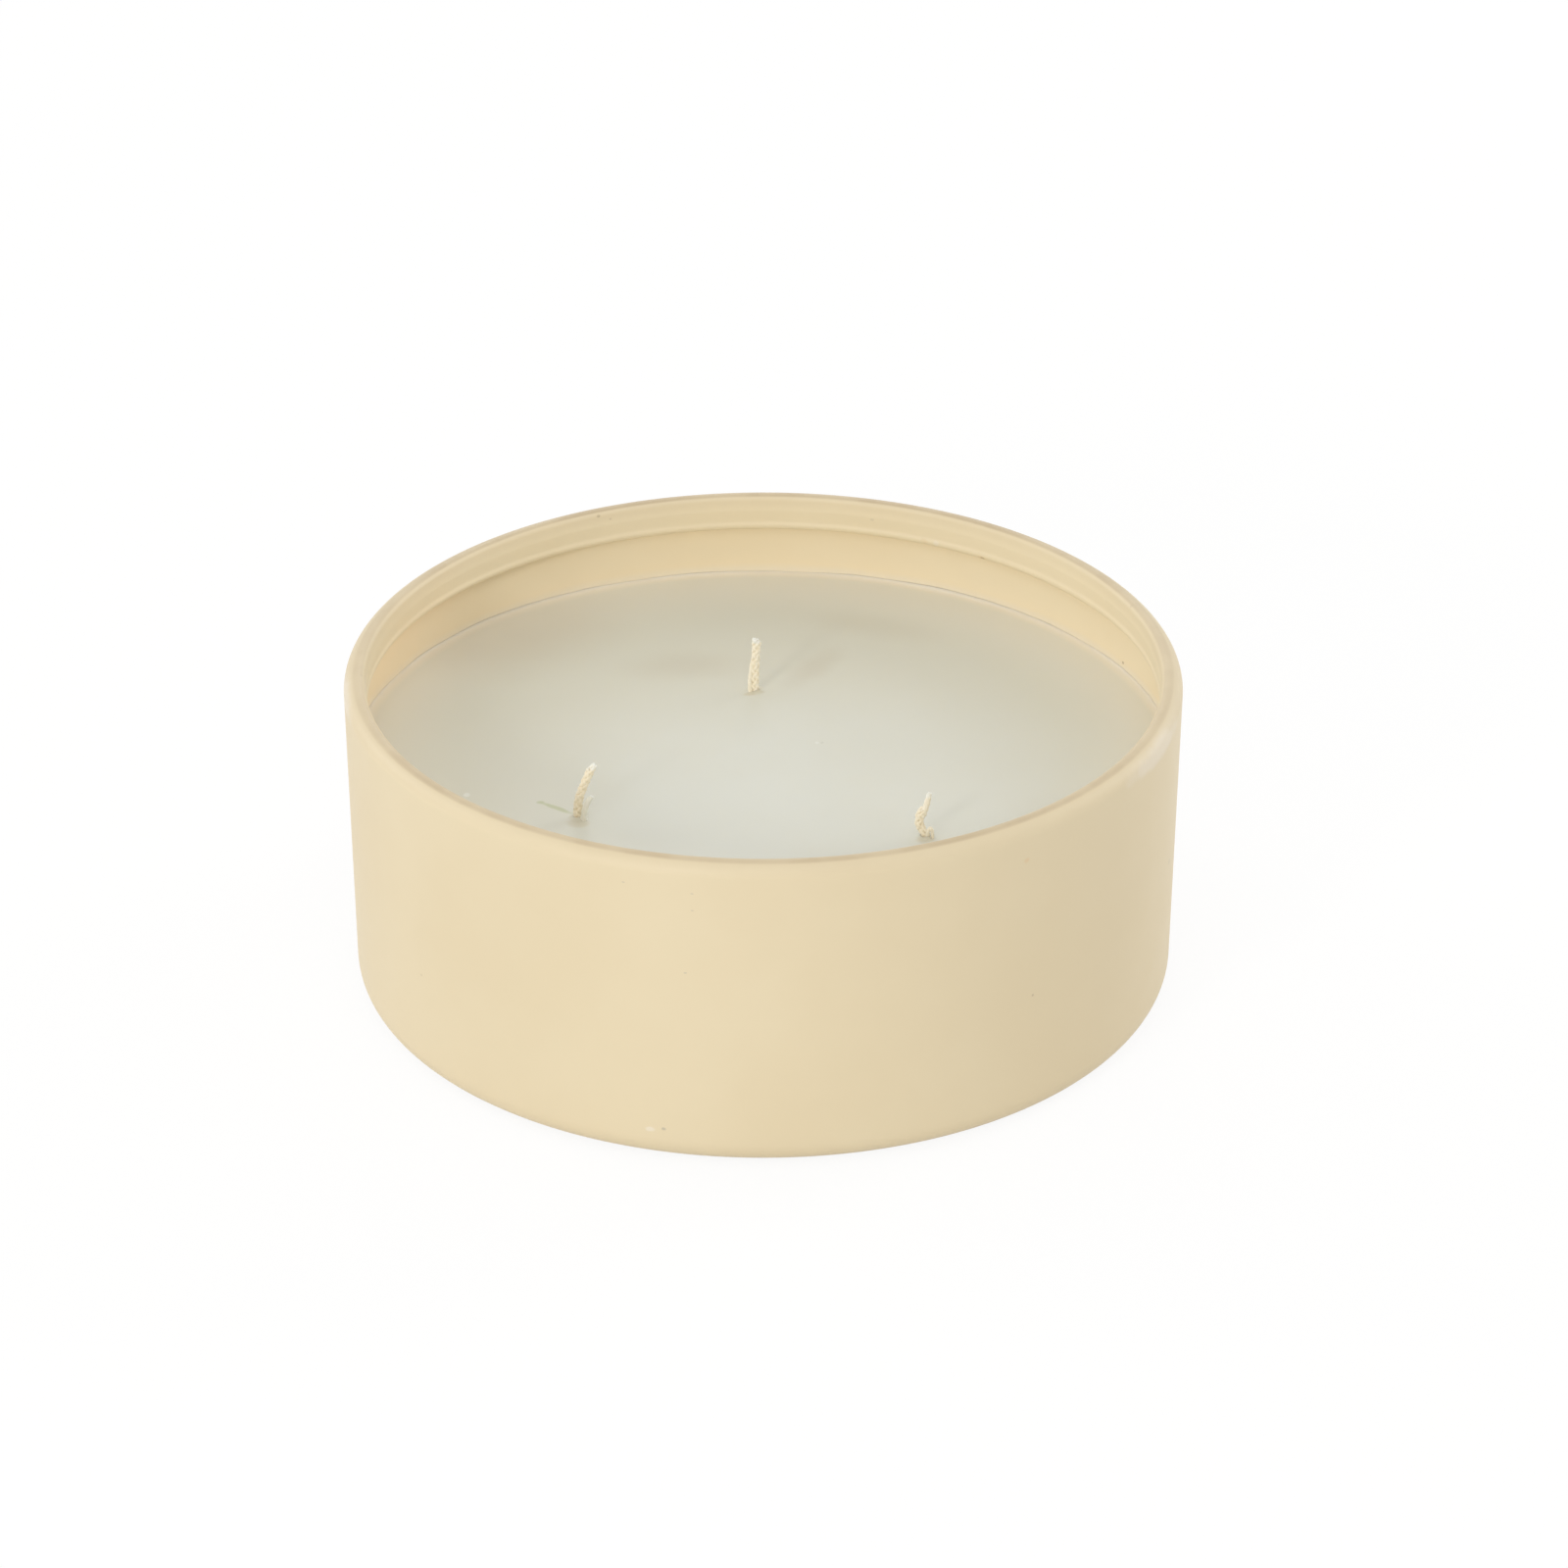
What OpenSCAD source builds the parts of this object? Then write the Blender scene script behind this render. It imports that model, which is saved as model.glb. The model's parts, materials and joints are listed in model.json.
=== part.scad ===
// Candle poured in a round, painted metal tub with a folded rim and three braided wicks.
// Millimetres, +Z up, origin at the middle of the foot ring's flat face, front towards -Y.

/* [Tub] */
// Outer diameter across the rim
rim_d = 150; // [130:1:180]
// Height from the foot ring to the crest of the rim
height = 60; // [50:1:90]
// How much smaller the wall's radius is at the foot than at the rim
wall_draft = 1.15; // [0:0.05:4]
// Thickness of the painted sheet
sheet_t = 0.8; // [0.5:0.05:1.1]
// Outer radius of the bend between base and wall
corner_r = 5; // [3:0.25:9]
// Width of the flat ring that the tub stands on
foot_ring_w = 6; // [3:0.5:10]
// Height of the raised panel in the base
panel_lift = 1.2; // [0.4:0.1:3]
// Radius of the two bends of the step round the raised panel, at mid sheet
panel_bend_r = 2; // [1.6:0.1:4]

/* [Rim fold] */
// Outer radius of the round shoulder where the wall turns inward
shoulder_r = 2.7; // [1.2:0.1:4]
// Outer radius of the tight turn where the sheet goes down inside the rim
turn_r = 1.1; // [1.1:0.05:2]
// Height of the fold, from the crest to the underside of its bead
fold_h = 7.1; // [6.8:0.1:12]
// Lean of the fold's upper face towards the axis, in degrees
upper_lean = 5; // [2:1:15]
// Length of the fold's straight upper face
upper_l = 1.8; // [1:0.1:3]
// Lean of the shallow hollow back towards the wall, in degrees
hollow_lean = 4; // [0:1:10]
// Radius of the soft bends on both sides of the hollow, at mid sheet
hollow_bend_r = 2; // [1.5:0.1:3]
// Lean of the face that leads into the bead, in degrees
bead_lean = 20; // [15:1:35]
// Outer radius of the bead along the fold's lower edge
bead_r = 1.1; // [1.1:0.05:1.6]
// Gap between the sheet's cut edge and the wall behind it
edge_gap = 0.3; // [0.1:0.05:0.5]

/* [Wax] */
// Depth of the wax's edge below the rim
wax_drop = 16.8; // [12:0.1:24]
// Height that the wax climbs at the wall
creep_h = 0.5; // [0.1:0.1:1.5]
// Width of the rounded strip where the wax climbs
creep_w = 1.6; // [0.5:0.1:4]
// Depth of the dish that the wax sinks to in the middle as it sets
dish_h = 0.8; // [0:0.1:3]
// Height of the collar of wax that clings to each wick
cling_h = 0.45; // [0.1:0.05:1]
// Width of that collar outside the wick
cling_w = 1.1; // [0.5:0.1:2]
// Gap that the set wax leaves at the metal
cast_gap = 0.02; // [0:0.01:0.1]

/* [Wicks] */
// Diameter of the braided wick
wick_d = 1.7; // [1.2:0.1:2.4]
// Depth of the grooves between the strands of the braid
braid_depth = 0.2; // [0:0.02:0.3]
// Length of one repeat of the braid
braid_pitch = 2.2; // [1.4:0.1:4]
// Clearance round a wick, in the wax and in its sustainer
wick_fit = 0.02; // [0:0.01:0.1]
// Rear wick, place from left to right
rear_x = -1.6; // [-12:0.1:12]
// Rear wick, place from front to back
rear_y = 26; // [16:0.1:30]
// Rear wick, height above the wax
rear_h = 10.8; // [5:0.1:14]
// Left wick, place from left to right
left_x = -32.8; // [-36:0.1:-24]
// Left wick, place from front to back
left_y = -23.7; // [-30:0.1:-10]
// Left wick, height above the wax
left_h = 10.6; // [5:0.1:14]
// Right wick, place from left to right
right_x = 28.5; // [22:0.1:36]
// Right wick, place from front to back
right_y = -31; // [-34:0.1:-10]
// Right wick, height above the wax
right_h = 8.7; // [5:0.1:14]

/* [Wick sustainers] */
// Diameter of the sustainer's flat disc
tab_d = 20; // [14:0.5:24]
// Thickness of the sustainer's tinplate
tab_t = 0.4; // [0.3:0.05:0.6]
// Height of the collar that is crimped on the wick, above the disc
collar_h = 6; // [3:0.5:10]
// Radius of the drawn root between disc and collar
collar_root_r = 1; // [0.6:0.1:2]
// Diameter of the glue dot under the sustainer
glue_d = 14; // [8:0.5:18]
// Thickness of the glue dot
glue_t = 0.6; // [0.3:0.1:1.5]

/* [Hidden] */
$fn = 96;

// Largest turn of one facet of a bend, in degrees
bend_step = 9;
// Facets across the wax's dish, and of each rounding where the wax climbs
dish_steps = 6;
climb_steps = 5;
// Sides round a wick, and the length of one ring of its braid
wick_sides = 20;
wick_ring_l = 0.4;
// Strands of the braid, half of them wound each way
strands = 4;
// Height over which the round wick opens into its braid
braid_start = 1;
// Narrowing of the wick's trimmed end, as a share
tip_taper = 0.12;

rim_r = rim_d / 2;
foot_r = rim_r - wall_draft;
half_t = sheet_t / 2;
wick_r = wick_d / 2;

// Angle of the wall, so that it runs tangent to the shoulder and aims at the foot's radius
shoulder_reach = sqrt(pow(wall_draft - shoulder_r, 2) + pow(height - shoulder_r, 2));
wall_a = acos(-shoulder_r / shoulder_reach) - atan2(height - shoulder_r, wall_draft - shoulder_r);
corner_x = foot_r - corner_r * (1 - sin(wall_a)) / cos(wall_a);
step_a = acos(1 - panel_lift / (2 * panel_bend_r));
panel_r = corner_x - foot_ring_w - 2 * panel_bend_r * sin(step_a);
wall_rise = height - shoulder_r - corner_r;
wall_l = wall_rise / cos(wall_a) + (corner_r - shoulder_r) * tan(wall_a);

// Bends of each wick above the wax: place from left to right, from front to back, share of its height
rear_bends = [[0, 0, 0], [-0.1, 0, 0.15], [0, 0, 0.45], [0.3, 0, 1]];
left_bends = [[0, 0, 0], [0, 0, 0.15], [0.5, 0, 0.42], [2.8, 0, 1]];
right_bends = [[0, 0, 0], [-0.5, 0, 0.1], [-1.1, 0, 0.3], [-0.7, 0, 0.6], [0.4, 0, 1]];

function last(list) = list[len(list) - 1];

// A state of the sheet's path is [radius, height, heading in degrees]
function ahead(s, l) = [s[0] + l * cos(s[2]), s[1] + l * sin(s[2]), s[2]];
function along_bend(s, r, a) = [
    s[0] + sign(a) * r * (sin(s[2] + a) - sin(s[2])),
    s[1] - sign(a) * r * (cos(s[2] + a) - cos(s[2])),
    s[2] + a
];
function bend(s, r, a) = let (n = max(1, ceil(abs(a) / bend_step)))
    [for (i = [1 : n]) along_bend(s, r, a * i / n)];

// The path's points, moved sideways to its left
function beside(path, d) = [for (s = path) [s[0] - d * sin(s[2]), s[1] + d * cos(s[2])]];

// Middle of the sheet, from the axis along the base to the start of the wall
axis_state = [0, panel_lift + half_t, 0];
panel_edge = ahead(axis_state, panel_r);
step_top = bend(panel_edge, panel_bend_r, -step_a);
step_foot = bend(last(step_top), panel_bend_r, step_a);
ring_edge = ahead(last(step_foot), foot_ring_w);
corner = bend(ring_edge, corner_r - half_t, 90 - wall_a);
base_path = concat([axis_state, panel_edge], step_top, step_foot, [ring_edge], corner);

// Middle of the sheet, up the wall, over the shoulder and down the fold
wall_top = ahead(last(corner), wall_l);
shoulder = bend(wall_top, shoulder_r - half_t, 90 + wall_a);
turn = bend(last(shoulder), turn_r - half_t, 90 - upper_lean);
upper_end = ahead(last(turn), upper_l);
hollow_top = bend(upper_end, hollow_bend_r, upper_lean + hollow_lean);
function bead_after(s) = let (lead = bend(s, hollow_bend_r, -hollow_lean - bead_lean))
    concat(lead, bend(last(lead), bead_r - half_t, 90 + bead_lean));
short_bead = bead_after(last(hollow_top));
hollow_l = (last(short_bead)[1] - half_t - height + fold_h) / cos(hollow_lean);
hollow_end = ahead(last(hollow_top), hollow_l);
bead = bead_after(hollow_end);
edge_l = inner_wall_r(last(bead)[1]) - edge_gap - last(bead)[0];
fold_path = concat(
    shoulder, turn, [upper_end], hollow_top, [hollow_end], bead, [ahead(last(bead), edge_l)]
);

// Radius of the wall's inner face at a height, and of the wax that lies against it
function inner_wall_r(z) = beside([last(corner)], half_t)[0][0]
    + (z - beside([last(corner)], half_t)[0][1]) * tan(wall_a);
function wax_wall_r(z) = inner_wall_r(z) - cast_gap / cos(wall_a);

// Heights that the wax and the wicks share
floor_z = panel_lift + sheet_t;
wax_z = height - wax_drop;
wax_r = wax_wall_r(wax_z);
dish_r = wax_r - creep_w;
tab_z = floor_z + glue_t;
function wax_top(r) = wax_z - creep_h - dish_h * (1 - pow(min(r, dish_r) / dish_r, 2));
function wax_at(place) = wax_top(norm(place));

rear_at = [rear_x, rear_y];
left_at = [left_x, left_y];
right_at = [right_x, right_y];

// The tub is one sheet: raised base panel, foot ring, corner, wall and folded rim
module container() {
    path = concat(base_path, [wall_top], fold_path);
    color("#E6D6B5")
        rotate_extrude()
            polygon(concat(beside(path, -half_t), reversed(beside(path, half_t))));
}

function reversed(list) = [for (i = [len(list) - 1 : -1 : 0]) list[i]];

// The wax fills the tub to its edge line, and is hollow only where wicks and sustainers stand in it
module wax() {
    color("#D7D8C9")
        difference() {
            union() {
                wax_body();
                wax_collar(rear_at);
                wax_collar(left_at);
                wax_collar(right_at);
            }
            wax_channel(rear_at);
            wax_channel(left_at);
            wax_channel(right_at);
        }
}

// Hollow rounding where wax climbs an upright face, from its top on that face down to the wax
function climb(r, z, w, h) = [for (i = [0 : climb_steps]) let (a = 90 * i / climb_steps)
    [r + w * (1 - cos(a)), z - h * sin(a)]];

module wax_body() {
    bed = beside(base_path, half_t + cast_gap);
    dish = [for (i = [1 : dish_steps]) let (r = dish_r * (1 - i / dish_steps)) [r, wax_top(r)]];
    rotate_extrude()
        polygon(concat(bed, climb(wax_r, wax_z, -creep_w, creep_h), dish));
}

// Wax that clings to the foot of a wick
module wax_collar(at) {
    r = wick_r + wick_fit;
    root = [[r + cling_w, -cling_h], [0, -cling_h], [0, cling_h]];
    translate([at[0], at[1], wax_at(at)])
        rotate_extrude()
            polygon(concat(climb(r, cling_h, cling_w, cling_h), root));
}

// Room for a wick, its sustainer and the glue dot
module wax_channel(at) {
    translate([at[0], at[1], 0]) {
        cylinder(h = height, r = wick_r + wick_fit);
        rotate_extrude()
            polygon(sustainer_outline(cast_gap));
        cylinder(h = tab_z, r = glue_d / 2 + cast_gap);
    }
}

// Outside of a sustainer from its lower edge to the axis, grown by a gap
function sustainer_outline(gap) = let (
    r = wick_r + wick_fit + tab_t + gap,
    root = collar_root_r - gap,
    top = tab_z + tab_t + gap
) concat(
    [[0, tab_z - gap], [tab_d / 2 + gap, tab_z - gap], [tab_d / 2 + gap, top]],
    [for (i = [0 : 4]) let (a = 90 * i / 4) [r + root * (1 - sin(a)), top + root * (1 - cos(a))]],
    [[r, top + collar_h], [0, top + collar_h]]
);

// Tinplate disc with a drawn collar that grips the end of the wick
module sustainer(at) {
    color("#C4C6C6")
        translate([at[0], at[1], 0])
            difference() {
                rotate_extrude()
                    polygon(sustainer_outline(0));
                translate([0, 0, tab_z - tab_t])
                    cylinder(h = collar_h + 3 * tab_t, r = wick_r + wick_fit);
            }
}

// Hot-melt dot that holds a sustainer to the base
module glue_dot(at) {
    color("#E9E4D2")
        translate([at[0], at[1], floor_z])
            cylinder(h = glue_t, r = glue_d / 2);
}

// Point at share u between bends, on a smooth curve through all of them
function through(list, i, u) = let (
    a = list[max(i - 1, 0)], b = list[i], c = list[i + 1], d = list[min(i + 2, len(list) - 1)]
) b + u * (c - a) / 2
    + u * u * (a - 2.5 * b + 2 * c - d / 2)
    + u * u * u * (1.5 * (b - c) + (d - a) / 2);

// Groove pattern of the braid: strands that cross from both sides
function braid(a, z) = let (turn = 360 * z / braid_pitch)
    max(cos(strands / 2 * a + turn), cos(strands / 2 * a - turn));

function wick_ring(at, z, shift, full, open) = [
    for (i = [0 : wick_sides - 1]) let (
        a = 360 * i / wick_sides,
        groove = braid_depth * open * (1 - braid(a, z)) / 2,
        r = (wick_r - groove) * full
    ) [at[0] + shift[0] + r * cos(a), at[1] + shift[1] + r * sin(a), z]
];

// A wick is round where the wax and the collar hold it, and an open braid above
module wick(at, h, bends) {
    foot = wax_at(at) + cling_h;
    spans = len(bends) - 1;
    rings = ceil(h / wick_ring_l / spans);
    curve = [for (i = [0 : spans - 1], k = [1 : rings]) through(bends, i, k / rings)];
    free = h - cling_h;
    exposed = [for (p = curve) wick_ring(
        at, foot + free * p[2], [p[0], p[1]],
        1 - tip_taper * max(0, p[2] * h - h + 1),
        min(1, p[2] * h / braid_start)
    )];
    points = [
        each wick_ring(at, tab_z, [0, 0], 1, 0),
        each wick_ring(at, foot, [0, 0], 1, 0),
        for (ring = exposed) each ring
    ];
    levels = len(exposed) + 2;
    sides = [for (j = [0 : levels - 2], i = [0 : wick_sides - 1], half = [0, 1]) let (
        a = j * wick_sides + i,
        b = j * wick_sides + (i + 1) % wick_sides
    ) half == 0 ? [a, a + wick_sides, b] : [b, a + wick_sides, b + wick_sides]];
    bottom = [for (i = [0 : wick_sides - 1]) i];
    top = [for (i = [wick_sides - 1 : -1 : 0]) (levels - 1) * wick_sides + i];
    color("#EFE6CF")
        polyhedron(points = points, faces = concat(sides, [bottom], [top]));
}

container();
wax();
wick(rear_at, rear_h, rear_bends);  // wick_rear
wick(left_at, left_h, left_bends);  // wick_left
wick(right_at, right_h, right_bends);  // wick_right
sustainer(rear_at);  // sustainer_rear
sustainer(left_at);  // sustainer_left
sustainer(right_at);  // sustainer_right
glue_dot(rear_at);  // glue_dot_rear
glue_dot(left_at);  // glue_dot_left
glue_dot(right_at);  // glue_dot_right
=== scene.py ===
"""Looks of a candle poured in a round painted tub: paint, wax, braided wicks, stage and camera."""

import json
import math

import bmesh
import bpy
from mathutils import Matrix, Vector, noise
from mathutils.geometry import delaunay_2d_cdt

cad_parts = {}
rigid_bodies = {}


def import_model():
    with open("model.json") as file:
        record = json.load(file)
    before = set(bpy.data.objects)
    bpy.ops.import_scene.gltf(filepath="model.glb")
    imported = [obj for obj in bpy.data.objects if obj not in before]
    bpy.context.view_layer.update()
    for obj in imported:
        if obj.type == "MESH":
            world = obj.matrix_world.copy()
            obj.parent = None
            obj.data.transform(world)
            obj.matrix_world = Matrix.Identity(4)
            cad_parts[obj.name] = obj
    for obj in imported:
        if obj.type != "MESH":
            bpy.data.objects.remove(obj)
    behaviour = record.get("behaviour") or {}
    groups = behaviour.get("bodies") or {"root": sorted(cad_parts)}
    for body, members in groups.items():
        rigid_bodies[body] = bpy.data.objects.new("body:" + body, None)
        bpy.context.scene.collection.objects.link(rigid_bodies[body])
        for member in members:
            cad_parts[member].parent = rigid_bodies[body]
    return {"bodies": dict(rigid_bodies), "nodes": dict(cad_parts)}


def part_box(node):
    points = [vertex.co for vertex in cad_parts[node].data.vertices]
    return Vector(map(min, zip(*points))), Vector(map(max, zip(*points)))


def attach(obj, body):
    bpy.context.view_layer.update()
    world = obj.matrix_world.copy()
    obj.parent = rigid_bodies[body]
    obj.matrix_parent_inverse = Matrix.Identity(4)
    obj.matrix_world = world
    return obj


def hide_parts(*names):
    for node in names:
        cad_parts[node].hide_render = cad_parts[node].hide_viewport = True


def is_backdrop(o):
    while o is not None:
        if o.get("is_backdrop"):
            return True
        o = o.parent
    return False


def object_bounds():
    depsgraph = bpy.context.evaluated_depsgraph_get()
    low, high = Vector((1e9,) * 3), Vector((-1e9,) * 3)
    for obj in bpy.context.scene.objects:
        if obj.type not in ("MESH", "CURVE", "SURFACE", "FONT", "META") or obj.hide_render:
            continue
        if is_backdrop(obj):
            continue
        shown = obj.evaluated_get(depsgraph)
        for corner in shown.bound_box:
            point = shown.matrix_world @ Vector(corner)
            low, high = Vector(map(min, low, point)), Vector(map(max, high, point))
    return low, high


bl_info = {
    "name": "Metal Container Candle",
    "version": (1, 0, 0),
    "blender": (4, 5, 0),
    "location": "3D View > Sidebar > Candle",
    "description": "Builds a three-wick candle in a folded-rim tub around its CAD frame",
    "category": "Add Mesh",
}

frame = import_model()
CAD_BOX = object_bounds()
BODY = next(iter(frame["bodies"]))
PLACES = ("rear", "left", "right")

MM = 0.001
TURN = 2 * math.pi
QUARTER = math.radians(90)
# Largest turn of one facet of a bend in the tub's section
FACET_TURN = math.radians(6)
# Steps along the straight parts of the tub's section
PANEL_STEPS = 12
FOOT_STEPS = 3
WALL_STEPS = 24
UPPER_STEPS = 4
HOLLOW_STEPS = 3
EDGE_STEPS = 2
# Facets round the tub, round the wax and round each hole in the wax
TUB_SIDES = 256
WAX_SIDES = 288
HOLE_SIDES = 40
# Share of the brighter inner paint, which is painted light, where the rim's tight turn ends
TURN_SHARE = 0.6
# Waves of the unevenness round the tub, with a seed each for the fold and for the wax's edge
WANDER_WAVES = 1.3
FOLD_SEED = 4.0
EDGE_SEED = 9.0
# Waves round the tub and share of the unevenness of the wax's edge
EDGE_WAVES = 5
EDGE_UNEVEN = 0.5
# Ripples on the wax: slow and quick ones in waves a metre, and the share of the quick ones
SLOW_RIPPLES = 38
QUICK_RIPPLES = 260
QUICK_SHARE = 0.25
SLOW_SEED = 0.3
QUICK_SEED = 0.8
# Widths of the creep over which the ripples calm down towards the wall
CALM_WIDTHS = 3
# Lobes of the wax that clings to a wick, and how much they differ
CLING_LOBES = 3
CLING_UNEVEN = 0.25
# Spacing of the points on the wax's face, rings of points round each hole, and the room round them
FACE_SPACING = 1.0 * MM
HOLE_RINGS = 7
RING_MARGIN = 0.2 * MM
CLEAR_MARGIN = 0.5 * MM
# Distance at which points are one, share of a ring's radius that counts as inside it, and the least
# points in a ring
SAME_PLACE = 1e-9
WELL_INSIDE = 0.9999
LEAST_SIDES = 6
# Steps in which the wax climbs to the wall
CREEP_STEPS = 6


def shade(red, green, blue):
    """A colour as it is seen on a screen, from 0 to 255, as the linear values that Blender uses."""
    def linear(part):
        part /= 255
        return part / 12.92 if part <= 0.04045 else ((part + 0.055) / 1.055) ** 2.4
    return linear(red), linear(green), linear(blue)


def length(name, description, default, **limits):
    """A length that a user may change."""
    return bpy.props.FloatProperty(
        name=name, description=description, default=default, unit="LENGTH", precision=5, **limits
    )


def angle(name, description, degrees):
    """An angle that a user may change."""
    return bpy.props.FloatProperty(
        name=name, description=description, default=math.radians(degrees), subtype="ANGLE"
    )


def colour(name, description, default):
    """A colour that a user may change."""
    return bpy.props.FloatVectorProperty(
        name=name, description=description, default=default, subtype="COLOR", size=3, min=0, max=1
    )


def share(name, description, default):
    """A share from none to all that a user may change."""
    return bpy.props.FloatProperty(
        name=name, description=description, default=default, subtype="FACTOR", min=0, max=1
    )


class CandleTub(bpy.types.PropertyGroup):
    """Sizes and paint of the tub."""
    sheet: length("Sheet", "Thickness of the painted sheet", 0.8 * MM)
    draft: length("Wall draft", "How much smaller the wall's radius is at the foot", 1.15 * MM)
    corner: length("Corner", "Outer radius of the bend between base and wall", 5 * MM)
    foot_ring: length("Foot ring", "Width of the flat ring that the tub stands on", 6 * MM)
    panel_lift: length("Panel lift", "Height of the raised panel in the base", 1.2 * MM)
    panel_bend: length("Panel bend", "Radius of the bends round the raised panel", 2 * MM)
    shoulder: length("Shoulder", "Outer radius of the shoulder where the wall turns inward", 2.7 * MM)
    turn: length("Turn", "Outer radius of the tight turn down inside the rim", 1.1 * MM)
    fold: length("Fold", "Height of the rim's fold", 7.1 * MM)
    upper_lean: angle("Upper lean", "Lean of the fold's upper face towards the axis", 5)
    upper: length("Upper face", "Length of the fold's straight upper face", 1.8 * MM)
    hollow_lean: angle("Hollow lean", "Lean of the shallow hollow back towards the wall", 4)
    hollow_bend: length("Hollow bend", "Radius of the soft bends on both sides of the hollow", 2 * MM)
    bead_lean: angle("Bead lean", "Lean of the face that leads into the bead", 20)
    bead: length("Bead", "Outer radius of the bead along the fold's lower edge", 1.1 * MM)
    edge_gap: length("Edge gap", "Gap between the sheet's cut edge and the wall", 0.3 * MM)
    wave: length("Fold wave", "How far the fold wanders in and out round the rim", 0.10 * MM)
    paint: colour("Paint", "Colour of the paint outside", shade(229, 213, 179))
    old_paint: colour("Old paint", "Colour of the darker clouds in the paint", shade(224, 206, 170))
    # The inner paints are brighter than the outer ones: painted light that lifts the inside to the
    # brightness of the outside.
    brightened_inner_paint: colour("Inner paint", "Colour of the paint inside and on the fold", shade(241, 225, 192))
    brightened_inner_old_paint: colour("Old inner paint", "Colour of its darker clouds", shade(236, 217, 179))
    # The thin paint colour is painted shade on the up-facing crest.
    crest_shade_paint: colour("Thin paint", "Paint where it lies thin over the crest", shade(198, 178, 144))
    speck: colour("Speck", "Colour of the grit and small chips in the paint", shade(138, 112, 78))
    dull: colour("Dull", "Colour of the faint grey dashes", shade(186, 176, 158))
    stain: colour("Stain", "Colour of the soft stains", shade(226, 190, 138))
    # The warm colour is painted warm reflection of the paint on the left inside.
    warm: colour("Warm paint", "Colour of the warmer paint on the left inside", shade(253, 229, 190))
    # The chalk colour gives pale scuffs and a painted highlight on the shoulder.
    chalk_and_sheen: colour("Chalk", "Colour of the pale scuffs", shade(243, 235, 224))
    roughness: share("Roughness", "Roughness of the paint", 0.52)


class CandleWax(bpy.types.PropertyGroup):
    """Sizes and tone of the wax."""
    drop: length("Drop", "Depth of the wax's edge below the rim", 16.8 * MM)
    creep: length("Creep height", "Height that the wax climbs at the wall", 0.5 * MM)
    creep_width: length("Creep width", "Width of the strip where the wax climbs", 1.6 * MM)
    dish: length("Dish", "Depth of the dish that the wax sinks to", 0.8 * MM)
    cling: length("Cling height", "Height of the wax that clings to a wick", 0.45 * MM)
    cling_width: length("Cling width", "Width of the wax that clings to a wick", 1.1 * MM)
    cast_gap: length("Cast gap", "Gap that the set wax leaves at the metal", 0.02 * MM)
    ripple: length("Ripple", "Height of the slow ripples in the wax", 0.05 * MM)
    # The pale heart of the wax and the warm tone away from it are painted light and shade: light on the
    # open middle, and shade with warm reflection of the paint towards the wall.
    tone: colour("Wax", "Colour of the wax in its heart", shade(218, 218, 206))
    shade_and_mottle_tone: colour("Warm wax", "Colour of the wax away from its heart", shade(215, 212, 194))
    # The edge wax is painted light that lifts the shade along the wall.
    lit_edge_tone: colour("Edge wax", "Colour of the paler wax along the wall", shade(238, 233, 220))
    film_tone: colour("Film tone", "Colour of the wax film on the wall", shade(233, 223, 201))
    thin_tone: colour("Thin wax", "Colour of the thin wax that shows the paint", shade(243, 232, 210))
    # The cloud colour is painted shade at the back of the wax, beside the left-back wall and the rear wick,
    # with some mottling.
    cloud: colour("Cloud", "Colour of the dim patches in the wax", shade(186, 172, 146))
    heart: bpy.props.FloatVectorProperty(
        name="Heart", description="Middle of the pale heart on the wax's face",
        default=(4.5 * MM, -25 * MM, 42.4 * MM), subtype="XYZ_LENGTH"
    )
    lit_heart_core: length("Heart core", "Radius inside which the heart has its own tone", 23 * MM)
    lit_heart_reach: length("Heart reach", "Radius from which the wax is fully warm", 66 * MM)
    lit_edge_width: length("Clear width", "Width of the paler strip along the wall", 20 * MM)
    thin_width: length("Thin width", "Width of the strip where the wax shows the wall", 2.4 * MM)
    film: length("Film", "Height of the thin wax that clings to the wall", 1.8 * MM)
    # The foot colour is painted shade round each wick's foot.
    foot: colour("Foot", "Colour of the soiled wax at the foot of a wick", shade(196, 181, 145))
    bubble: colour("Bubble", "Colour of the pale dots in the wax", shade(240, 240, 234))
    smudge: colour("Smudge", "Colour of the grey dots on the wax", shade(188, 186, 170))
    scratch: colour("Scratch", "Colour of the long scratch", shade(188, 192, 150))
    roughness: share("Roughness", "Roughness of the wax", 0.5)


class CandleWicks(bpy.types.PropertyGroup):
    """Sizes and yarn of the wicks."""
    diameter: length("Diameter", "Diameter of the braided wick", 1.7 * MM)
    strands: bpy.props.IntProperty(name="Strands", description="Yarns that run each way", default=4)
    pitch: length("Pitch", "Height in which a yarn goes once round", 6.2 * MM)
    bury: length("Bury", "Depth that the yarns reach into the wax", 1.2 * MM)
    fuzz: length("Fuzz", "Length of the loose fibres", 0.9 * MM)
    yarn: colour("Yarn", "Colour of the cotton", shade(249, 242, 223))
    old_yarn: colour("Old yarn", "Colour in the hollows of the braid", shade(243, 230, 201))
    waxed_yarn: colour("Waxed yarn", "Colour of the cut end, stiff with wax", shade(243, 242, 231))


class CandleMetal(bpy.types.PropertyGroup):
    """Sizes and finish of the pieces inside the wax."""
    plate: length("Plate", "Thickness of the sustainers' discs", 0.4 * MM)
    root: length("Collar root", "Width and height of the slope from disc to collar", 1.0 * MM)
    tinplate: colour("Tinplate", "Colour of the sustainers", shade(196, 198, 198))
    hot_melt: colour("Hot melt", "Colour of the glue dots", shade(233, 228, 210))


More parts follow.
